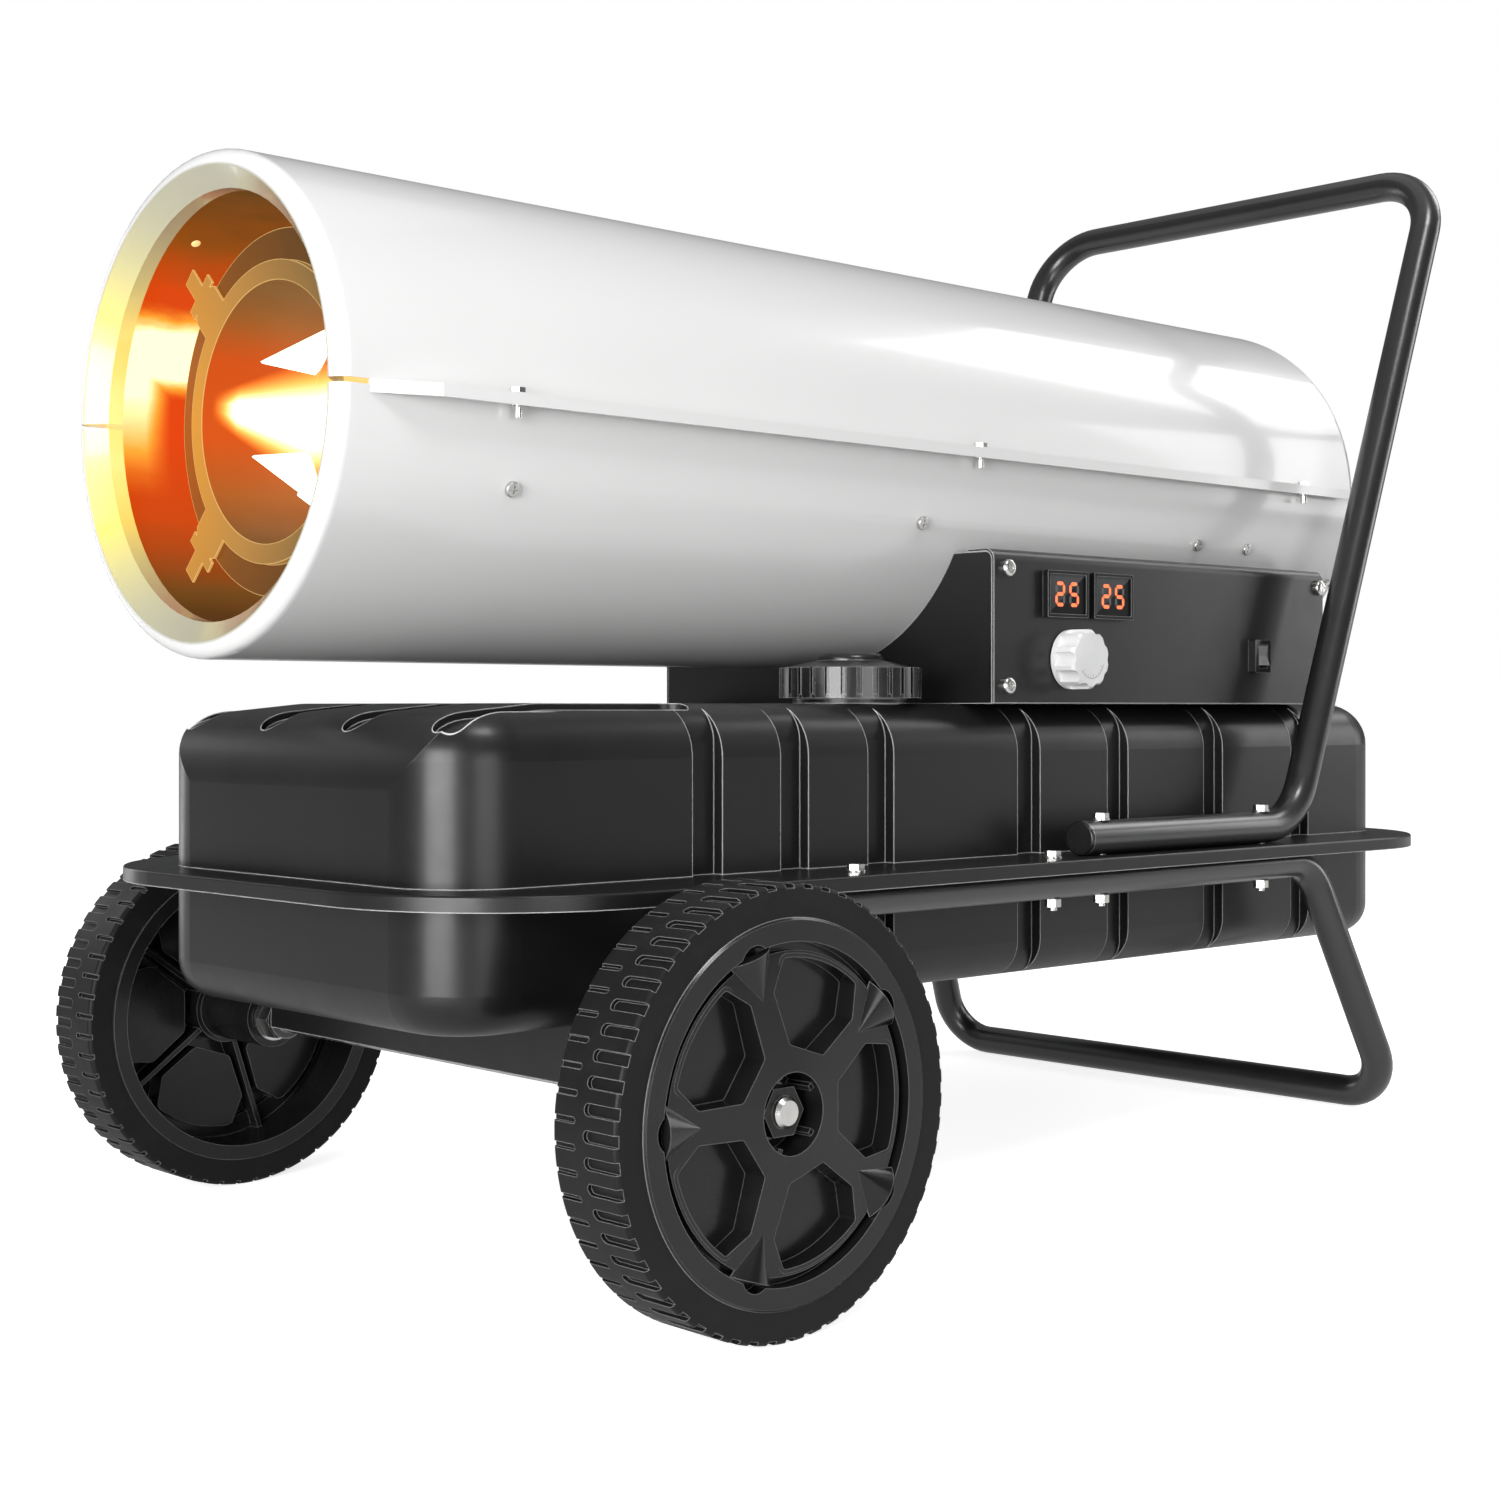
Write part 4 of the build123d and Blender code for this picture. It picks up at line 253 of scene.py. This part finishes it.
def metal(name, colour, rough, stretch=(1, 1, 1), grain=700, strength=0.12):
    """Bare metal, brushed along the stretched axis."""
    n = Nodes(name)
    brushed = n.noise(grain, 3, 0.6, n.stretched(*stretch))
    cloud = n.noise(30, 6, 0.65)
    tint = n.mix(n.span(cloud, 0.3, 0.75, 0, 1), colour, tuple(c * 0.72 for c in colour))
    n.set(color=tint, metal=1.0, rough=n.span(cloud, 0.25, 0.8, rough - 0.06, rough + 0.14),
          normal=n.bump(brushed, strength, 0.0003))
    return n.mat


def moulding(name, colour, rough, coat=0.0, rim=0.35, edge=0.0012, spec=0.5):
    """Moulded plastic or glazed ceramic with a fine grain and a painted highlight on its edges."""
    n = Nodes(name)
    fine = n.noise(500, 4, 0.6)
    cloud = n.noise(25, 5)
    tint = n.mix(n.span(cloud, 0.3, 0.75, 0, 1), colour, tuple(c * 1.25 + 0.002 for c in colour))
    # Painted highlight: edges lightened towards a paler copy of the colour
    light = tuple(min(0.9, c + 0.38) for c in colour)
    tint = n.mix(n.times(n.edge(edge, 0.03, 0.28), rim), tint, light)
    n.set(color=tint, rough=n.span(cloud, 0.3, 0.75, rough - 0.04, rough + 0.08), coat=coat,
          coat_rough=0.12, spec=spec, normal=n.bump(fine, 0.08, 0.0003))
    return n.mat


def rubber(name, rim=0.5):
    """Dusty black rubber with a painted highlight on its edges."""
    n = Nodes(name)
    fine = n.noise(800, 4, 0.65)
    dust = n.noise(28, 8, 0.7)
    tint = n.mix(n.span(dust, 0.5, 0.8, 0, 0.4), (0.008, 0.008, 0.0085), (0.026, 0.0255, 0.024))
    # Painted highlight: edges lightened towards mid grey
    tint = n.mix(n.times(n.edge(0.001, 0.04, 0.25), rim), tint, tone(0.42))
    n.set(color=tint, rough=n.span(dust, 0.3, 0.8, 0.4, 0.58), spec=0.2, normal=n.bump(fine, 0.2, 0.0004))
    return n.mat


def heat_base(n, streak):
    """Scaled, heat-stained sheet under the glow."""
    grain = n.noise(300, 4, 0.6)
    n.set(color=n.mix(n.span(streak, 0.3, 0.7, 0, 1), (0.03, 0.015, 0.008), (0.015, 0.01, 0.008)),
          spec=0.04, rough=n.span(streak, 0.2, 0.8, 0.35, 0.55), normal=n.bump(grain, 0.1, 0.0004))


def chamber_steel(name):
    """Chamber wall: red-hot, with a white-hot band above the middle and browned at top and bottom."""
    n = Nodes(name)
    x, _, height, _ = n.barrel()
    streak = n.noise(26, 6, 0.6, n.stretched(0.35, 1, 1))
    level = n.math("ADD", height, n.times(n.less(streak, 0.5), 22.0))
    band = n.span(n.away(level, HOT_BAND_Z), *HOT_BAND_HALF, 1.0, 0.0)
    corner = n.times(n.span(x, *CHAMBER_MOUTH_X, 0, 1), n.span(level, -45.0, 20.0, 0, 1))
    corner = n.times(corner, n.span(level, 40.0, 70.0, 1, 0))
    hot = n.math("MAXIMUM", band, corner)
    wall = n.ramp(n.span(level, -CHAMBER_R, CHAMBER_R, 0, 1), (
        (0.0, (0.035, 0.02, 0.006)), (0.12, (0.16, 0.06, 0.008)), (0.28, (0.62, 0.06, 0.002)),
        (0.5, (0.8, 0.055, 0.001)), (0.82, (0.72, 0.06, 0.002)), (0.92, (0.3, 0.07, 0.004)),
        (1.0, (0.12, 0.045, 0.006))))
    white_hot = n.ramp(hot, ((0.0, (0.9, 0.25, 0.01)), (0.5, (1.0, 0.62, 0.06)), (1.0, (1.0, 0.93, 0.5))))
    colour = n.mix(hot, wall, white_hot)
    heat_base(n, streak)
    n.set(glow_color=colour, glow=n.span(hot, 0.0, 1.0, 1.0, 1.5))
    return n.mat


def spreader_steel(name):
    """Flame spreader: straw ring and legs, browned band, red-hot cup and white-hot fins."""
    n = Nodes(name)
    x, y, height, radius = n.barrel()
    streak = n.noise(30, 6, 0.6)
    # Partly painted glow: the heat-tinted ring and band are the metal's own colour, but they are painted
    # brighter towards the far side and the axis' level, where the burner's light falls
    side = n.math("ADD", n.times(y, 0.5), n.times(n.math("ABSOLUTE", height), -0.35))
    side = n.span(side, -60.0, 50.0, 0, 1)
    ring = n.ramp(side, ((0.0, (0.2, 0.13, 0.045)), (0.45, (0.5, 0.25, 0.06)), (1.0, (0.8, 0.34, 0.04))))
    band = n.ramp(side, (
        (0.0, (0.09, 0.045, 0.012)), (0.5, (0.22, 0.075, 0.012)), (1.0, (0.42, 0.1, 0.008))))
    colour = n.mix(n.span(x, *RING_X, 0, 1), ring, band)

    # Flame's core, painted on the cup's wall as glowing colour: a tongue that widens and sinks towards the
    # back of the cup
    depth = n.span(x, -136.0, CUP_BACK_X, 0.0, 1.0)
    core_z, core_half = n.span(depth, 0.0, 1.0, 12.0, 6.0), n.span(depth, 0.0, 1.0, 5.0, 30.0)
    flare = n.math("DIVIDE", n.away(height, core_z), core_half)
    flare = n.times(n.span(flare, 0.35, 1.5, 1.0, 0.0), n.span(x, -134.0, -116.0, 0.0, 1.0))
    cup = n.ramp(n.span(height, -CUP_TOP_R, CUP_TOP_R, 0, 1), (
        (0.0, (0.16, 0.07, 0.015)), (0.22, (0.45, 0.11, 0.012)), (0.45, (0.72, 0.085, 0.002)),
        (0.75, (0.66, 0.075, 0.002)), (0.9, (0.34, 0.1, 0.012)), (1.0, (0.2, 0.09, 0.02))))
    core = n.ramp(flare, ((0.0, (0.9, 0.3, 0.01)), (0.5, (1.0, 0.7, 0.15)), (1.0, (1.0, 0.97, 0.8))))
    cup = n.mix(flare, cup, core)

    # The cup narrows backwards, so its inner side is told by radius and depth together
    wall = n.math("ADD", radius, n.times(n.less(x, CUP_FRONT_X), CUP_LEAN))
    inside = n.times(n.span(wall, *CUP_WALL_R, 0, 1), n.span(x, *CUP_OPEN_X, 0, 1))
    fin = n.times(n.span(wall, *FIN_WALL_R, 0, 1), n.span(x, *FIN_X, 0, 1))
    # Painted highlight: the cup's edges lightened to bright orange, less on its inner side, and made to
    # glow
    rim = n.times(n.edge(0.0013, 0.03, 0.2), n.less(1.0, n.times(inside, 0.6)))
    colour = n.mix(inside, colour, cup)
    colour = n.mix(rim, colour, (1.0, 0.66, 0.24))
    colour = n.mix(fin, colour, (1.0, 0.95, 0.74))
    heat_base(n, streak)
    bright = n.times(n.math("MAXIMUM", fin, n.times(flare, inside)), 1.6)
    n.set(glow_color=colour, glow=n.math("ADD", bright, 1.0))
    return n.mat


def hot_steel(name):
    """Burner parts deep in the chamber, glowing yellow."""
    n = Nodes(name)
    streak = n.noise(26, 6, 0.6)
    heat_base(n, streak)
    n.set(glow_color=n.mix(streak, (1.0, 0.4, 0.03), (1.0, 0.62, 0.12)),
          glow=n.span(streak, 0.3, 0.7, 0.9, 1.4))
    return n.mat


def dark_glass(name):
    """Smoked window; a painted sheen lies over its upper left corner."""
    n = Nodes(name)
    grime = n.noise(120, 6)
    x, z = n.body("x"), n.body("z")
    left, pitch = DISPLAY_X[0] - DISPLAY_HALF, DISPLAY_X[1] - DISPLAY_X[0]
    between = sum(DISPLAY_X) / 2
    local = n.less(n.less(x, left), n.span(x, between - 0.1, between + 0.1, 0.0, pitch))
    slant = n.less(n.times(n.less(z, DISPLAY_Z), 1.5), n.less(local, DISPLAY_HALF))
    sheen = n.times(n.span(slant, -0.6, 0.6, 0, 1), n.span(z, 415.0, 450.0, 0.35, 1.0))
    base = n.mix(grime, tone(0.006, 0.0005), tone(0.01, 0.001))
    # Painted reflection: a pale sheen mixed over the upper left of each window
    tint = n.mix(n.times(sheen, 0.9), base, (0.085, 0.087, 0.09))
    n.set(color=tint, rough=n.span(grime, 0.3, 0.8, 0.3, 0.4), spec=0.08,
          normal=n.bump(n.noise(300, 2), 0.02, 0.0002))
    return n.mat


def glowing(name, colour, strength):
    """Lit surface with a slight unevenness."""
    n = Nodes(name)
    flicker = n.noise(260, 3)
    n.set(color=n.mix(flicker, colour, tuple(c * 0.8 for c in colour)), rough=0.5, glow_color=colour,
          glow=n.span(flicker, 0.2, 0.8, strength * 0.9, strength * 1.1),
          normal=n.bump(flicker, 0.02, 0.0001))
    return n.mat


PAINT_BLACK, TUBE_BLACK = tone(0.0065, 0.0003), tone(0.009, 0.0004)
GLOSS_BLACK, RIM_BLACK, BEZEL_BLACK = tone(0.0065, 0.0005), tone(0.007, 0.0004), tone(0.006, 0.0005)
TUBE = dict(coat=0.4, spec=0.7)
RIM = dict(coat=0.15, rim=0.45, spec=0.34)

# Looks by material slot, then the nodes that have a look of their own
LOOK = {
    "painted_white": enamel("white_enamel", (0.77, 0.77, 0.765), 0.24),
    "painted_black": powder("black_powder", PAINT_BLACK, 0.33, rim=0.8, spec=0.36),
    "zinc": metal("zinc_plate", (0.72, 0.71, 0.69), 0.24),
    "heat_steel": hot_steel("heat_steel"),
    "brass": metal("brass_turned", (0.68, 0.47, 0.18), 0.28),
    "ceramic": moulding("ceramic_glaze", (0.74, 0.73, 0.69), 0.18, coat=0.5),
    "aluminium": metal("aluminium_cast", (0.66, 0.66, 0.67), 0.36, strength=0.3, grain=420),
    "motor_grey": powder("motor_enamel", (0.09, 0.1, 0.11), 0.35),
    "shaft_steel": metal("ground_steel", tone(0.78), 0.2, stretch=(0.05, 1, 1)),
    "carbon": moulding("carbon_vane", tone(0.03), 0.5),
    "guard_wire": powder("guard_black", tone(0.008), 0.4),
    "clear_hose": moulding("clear_hose", (0.55, 0.53, 0.4), 0.2, coat=0.4),
    "black_hose": rubber("fuel_hose_rubber"),
    "black_plastic": moulding("gloss_black", GLOSS_BLACK, 0.24, coat=0.25, rim=0.5),
    "matte_black": moulding("matt_black", tone(0.015), 0.5),
    "mesh": moulding("nylon_mesh", (0.6, 0.6, 0.55), 0.5),
    "gasket": rubber("gasket_rubber"),
    "display_glass": dark_glass("display_glass"),
    "knob_grey": moulding("knob_white", tone(0.7), 0.45, rim=0.2),
    "board": moulding("board_green", (0.02, 0.13, 0.05), 0.35, coat=0.3),
    "tyre": rubber("tyre_rubber", rim=0.7),
}
NODE_LOOK = {
    "combustion_chamber": chamber_steel("chamber_steel"),
    "flame_spreader": spreader_steel("spreader_steel"),
    "handle": powder("handle_black", TUBE_BLACK, 0.3, **TUBE),
    "foot_frame": powder("foot_black", TUBE_BLACK, 0.3, **TUBE),
    "axle_nuts": powder("nut_black", tone(0.012), 0.28, edge=0.001, rim=0.35),
    "switch_rocker": moulding("rocker_grey", tone(0.16, 0.005), 0.35, rim=0.4, edge=0.0006),
    "display_bezels": moulding("bezel_black", BEZEL_BLACK, 0.4, rim=1.0, edge=0.001, spec=0.15),
    "fuel_cap": moulding("cap_black", GLOSS_BLACK, 0.26, coat=0.25, rim=0.8, edge=0.001),
    "left_rim": moulding("rim_black", RIM_BLACK, 0.23, **RIM),
    "right_rim": moulding("rim_black_far", RIM_BLACK, 0.23, **RIM),
}
slot_of = {part["node"]: part["material_slot"] for part in frame["record"]["subparts"]}
for name, node in frame["nodes"].items():
    node.data.materials.clear()
    node.data.materials.append(NODE_LOOK.get(name) or LOOK[slot_of[name]])


# ------------------------------------------------------------------ small pieces
def piece(name, verts, faces, material, body, smooth=False):
    """A mesh of the scene's own, moving with a body."""
    mesh = bpy.data.meshes.new(name)
    mesh.from_pydata([tuple(v) for v in verts], [], faces)
    mesh.update()
    mesh.materials.append(material)
    if smooth:
        mesh.shade_smooth()
    obj = bpy.data.objects.new(name, mesh)
    scene.collection.objects.link(obj)
    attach(obj, body)
    return obj


# Display digits: seven-segment strokes standing just inside each window
SEGMENTS = {"2": "abged", "5": "afgcd"}
STROKES = {
    "a": ((0, 2), (1, 2)), "g": ((0, 1), (1, 1)), "d": ((0, 0), (1, 0)),
    "f": ((0, 2), (0, 1)), "b": ((1, 2), (1, 1)), "e": ((0, 1), (0, 0)), "c": ((1, 1), (1, 0)),
}
DIGIT_W, DIGIT_H, DIGIT_PITCH, DIGIT_START = 8.5, 7.6, 15.8, 12.1
STROKE_HALF, STROKE_INSET = 1.3, 0.45
WINDOW_Y = PANEL_Y - BEZEL_RISE + WINDOW_SINK - WINDOW_THICK / 2 - DIGIT_GAP
digit_red = glowing("digit_red", (1.0, 0.18, 0.06), 0.95)
digit_off = moulding("digit_off", tone(0.11, 0.002), 0.4, spec=0.1)


def stroke(a, b, x0, z0):
    """Outline of one bar, pointed at both ends, between two corners of a digit."""
    ax, az = x0 + a[0] * DIGIT_W, z0 + a[1] * DIGIT_H
    bx, bz = x0 + b[0] * DIGIT_W, z0 + b[1] * DIGIT_H
    size = math.hypot(bx - ax, bz - az)
    dx, dz = (bx - ax) / size, (bz - az) / size
    ax, az, bx, bz = (ax + dx * STROKE_INSET, az + dz * STROKE_INSET,
                      bx - dx * STROKE_INSET, bz - dz * STROKE_INSET)
    tx, tz = dx * STROKE_HALF, dz * STROKE_HALF
    nx, nz = -tz, tx
    points = ((ax, az), (ax + tx + nx, az + tz + nz), (bx - tx + nx, bz - tz + nz),
              (bx, bz), (bx - tx - nx, bz - tz - nz), (ax + tx - nx, az + tz - nz))
    return [at(px, WINDOW_Y, pz) for px, pz in points]


for index, centre in enumerate(DISPLAY_X):
    meshes = {True: ([], []), False: ([], [])}
    for place, digit in enumerate("25"):
        x0 = centre - DIGIT_START + place * DIGIT_PITCH
        for key, (a, b) in STROKES.items():
            verts, faces = meshes[key in SEGMENTS[digit]]
            faces.append(tuple(range(len(verts), len(verts) + 6)))
            verts.extend(stroke(a, b, x0, DISPLAY_Z - DIGIT_H))
    piece(f"display_lit_{index}", *meshes[True], digit_red, "heater")
    piece(f"display_unlit_{index}", *meshes[False], digit_off, "heater")


def dome(name, centre, out, size, rise, material, body):
    """Small round head on a surface: centre and outward direction in body millimetres."""
    out = Vector(out).normalized()
    across = out.orthogonal().normalized()
    along = out.cross(across)
    turns, rings = 16, 4
    verts, faces = [at(*(Vector(centre) + out * rise))], []
    for ring in range(1, rings + 1):
        lean = math.pi / 2 * ring / rings
        for step in range(turns):
            angle = 2 * math.pi * step / turns
            side = across * math.cos(angle) + along * math.sin(angle)
            reach = side * size * math.sin(lean) + out * rise * math.cos(lean)
            verts.append(at(*(Vector(centre) + reach)))
    for step in range(turns):
        after = (step + 1) % turns
        faces.append((0, 1 + step, 1 + after))
        for ring in range(rings - 1):
            low = 1 + ring * turns
            faces.append((low + step, low + turns + step, low + turns + after, low + after))
    return piece(name, verts, faces, material, body, smooth=True)


# Rivet head on the chamber's wall, seen through the outlet
dome("chamber_rivet", (-154.5, 64.0, BARREL_Z + 111.0), (0, -0.5, -0.87), 3.0, 1.2,
     glowing("rivet_glow", (0.75, 0.5, 0.2), 0.9), "heater")

# Scale on the thermostat knob's face: an arc of short pieces with nine ticks inside it
KNOB_X, KNOB_Z, KNOB_Y = 420.0, 386.0, -192.86
ARC_R, ARC_START, ARC_STEP, ARC_PIECES = (13.6, 14.1), 215, 6.5, 20
TICK_START, TICK_STEP, TICK_HALF, TICKS = 223, 14, 0.9, 9
TICK_INNER_LONG, TICK_INNER, TICK_OUTER = 10.6, 11.6, 13.2
verts, faces = [], []


def sector(inner, outer, start, end):
    """Flat piece of a ring on the knob's face, between two angles in degrees."""
    first = len(verts)
    for angle in (start, end):
        for r in (inner, outer):
            a = math.radians(angle)
            verts.append(at(KNOB_X + r * math.cos(a), KNOB_Y, KNOB_Z + r * math.sin(a)))
    faces.append((first, first + 1, first + 3, first + 2))


for step in range(ARC_PIECES):
    sector(*ARC_R, ARC_START + ARC_STEP * step, ARC_START + ARC_STEP * (step + 1))
for step in range(TICKS):
    middle = TICK_START + TICK_STEP * step
    sector(TICK_INNER if step % 4 else TICK_INNER_LONG, TICK_OUTER, middle - TICK_HALF, middle + TICK_HALF)
piece("knob_scale", verts, faces, moulding("knob_mark", tone(0.3), 0.5), "thermostat")


# ------------------------------------------------------------------ floor, light and camera
FLOOR_HALF, FLOOR_Z = 14, -0.0002
FLOOR_GLOW, FLOOR_IN_GLOSS = 0.78, 0.45

ground = Nodes("floor_paper")
paper = ground.noise(40, 6)
rays = ground.new("ShaderNodeLightPath").outputs
direct = ground.math("MAXIMUM", rays["Is Camera Ray"], rays["Is Transmission Ray"])
seen = ground.math("MAXIMUM", direct, ground.times(rays["Is Glossy Ray"], FLOOR_IN_GLOSS))
shade, bright = ground.mix(paper, tone(0.3), tone(0.27)), ground.mix(paper, tone(0.9), tone(0.87))
ground.set(color=ground.mix(seen, shade, bright), rough=0.85, spec=0.0, glow_color=tone(1),
           glow=ground.times(seen, FLOOR_GLOW), normal=ground.bump(paper, 0.02, 0.001))
mesh = bpy.data.meshes.new("floor")
corners = [(x * FLOOR_HALF, y * FLOOR_HALF, FLOOR_Z) for x, y in ((-1, -1), (1, -1), (1, 1), (-1, 1))]
mesh.from_pydata(corners, [], [(0, 1, 2, 3)])
mesh.materials.append(ground.mat)
floor = bpy.data.objects.new("floor", mesh)
scene.collection.objects.link(floor)

world = bpy.data.worlds.new("studio")
scene.world = world
world.use_nodes = True
tree = world.node_tree
tree.nodes.clear()


def sky(kind, **inputs):
    node = tree.nodes.new(kind)
    for key, value in inputs.items():
        node.inputs[key.replace("_", " ")].default_value = value
    return node


sky_out = sky("ShaderNodeOutputWorld")
sky_seen = sky("ShaderNodeBackground", Color=(1, 1, 1, 1), Strength=1.0)
sky_lit = sky("ShaderNodeBackground", Color=(0.98, 0.99, 1, 1))
sky_way = sky("ShaderNodeTexCoord")
sky_split = sky("ShaderNodeSeparateXYZ")
sky_rise = sky("ShaderNodeMapRange", From_Min=0.1, From_Max=0.85, To_Min=0.1, To_Max=0.33)
sky_rays = sky("ShaderNodeLightPath").outputs
sky_direct = sky("ShaderNodeMath")
sky_direct.operation = "MAXIMUM"
sky_mix = sky("ShaderNodeMixShader")
for output, socket in (
    (sky_way.outputs["Generated"], sky_split.inputs[0]),
    (sky_split.outputs["Z"], sky_rise.inputs["Value"]),
    (sky_rise.outputs[0], sky_lit.inputs["Strength"]),
    (sky_rays["Is Camera Ray"], sky_direct.inputs[0]),
    (sky_rays["Is Transmission Ray"], sky_direct.inputs[1]),
    (sky_direct.outputs[0], sky_mix.inputs[0]),
    (sky_lit.outputs[0], sky_mix.inputs[1]),
    (sky_seen.outputs[0], sky_mix.inputs[2]),
    (sky_mix.outputs[0], sky_out.inputs[0]),
):
    tree.links.new(output, socket)

# Area lamps: place, aim, width, height (None for a square) and watts
LAMPS = {
    "key_high": ((-0.35, -1.75, 3.0), (0, 0, 0.5), 0.8, None, 32),
    "top_soft": ((0.1, 0.3, 2.9), (0, 0, 0.4), 2.2, None, 6),
    "front_fill": ((-0.9, -2.9, 0.55), (-0.1, 0, 0.45), 1.4, 0.9, 18),
    "strip_left": ((-2.2, -0.85, 0.58), (-0.45, -0.13, 0.5), 1.2, 1.1, 50),
    "strip_far": ((-0.62, 2.3, 0.7), (-0.4, 0.1, 0.35), 0.6, 1.3, 6),
    "side_right": ((2.6, -1.25, 0.85), (0.3, -0.2, 0.4), 0.9, 1.2, 11),
    "back_right": ((2.3, -0.5, 1.9), (0.2, -0.1, 0.45), 1.0, None, 12),
}
for name, (place, aim, width, height, watts) in LAMPS.items():
    lamp = bpy.data.lights.new(name, "AREA")
    lamp.energy = watts
    lamp.size = width
    if height:
        lamp.shape = "RECTANGLE"
        lamp.size_y = height
    obj = bpy.data.objects.new(name, lamp)
    obj.location = place
    obj.rotation_euler = (Vector(aim) - Vector(place)).to_track_quat("-Z", "Y").to_euler()
    scene.collection.objects.link(obj)

# Camera: lens, shift and place fitted to the photograph's view
cam = bpy.data.cameras.new("camera")
cam.sensor_width = 36
cam.lens = 54.371
cam.shift_x = 0.03375
cam.shift_y = -0.02823
cam.clip_start = 0.05
cam_obj = bpy.data.objects.new("camera", cam)
scene.collection.objects.link(cam_obj)
fwd, right, up = way(0.67421, 0.73854, 0), way(0.73854, -0.67421, 0), way(0, 0, 1)
eye = at(-881.04, -1201.26, 351.23)
cam_obj.matrix_world = Matrix((
    (right[0], up[0], -fwd[0], eye[0]),
    (right[1], up[1], -fwd[1], eye[1]),
    (right[2], up[2], -fwd[2], eye[2]),
    (0, 0, 0, 1),
))
scene.camera = cam_obj
scene.view_settings.view_transform = "Standard"
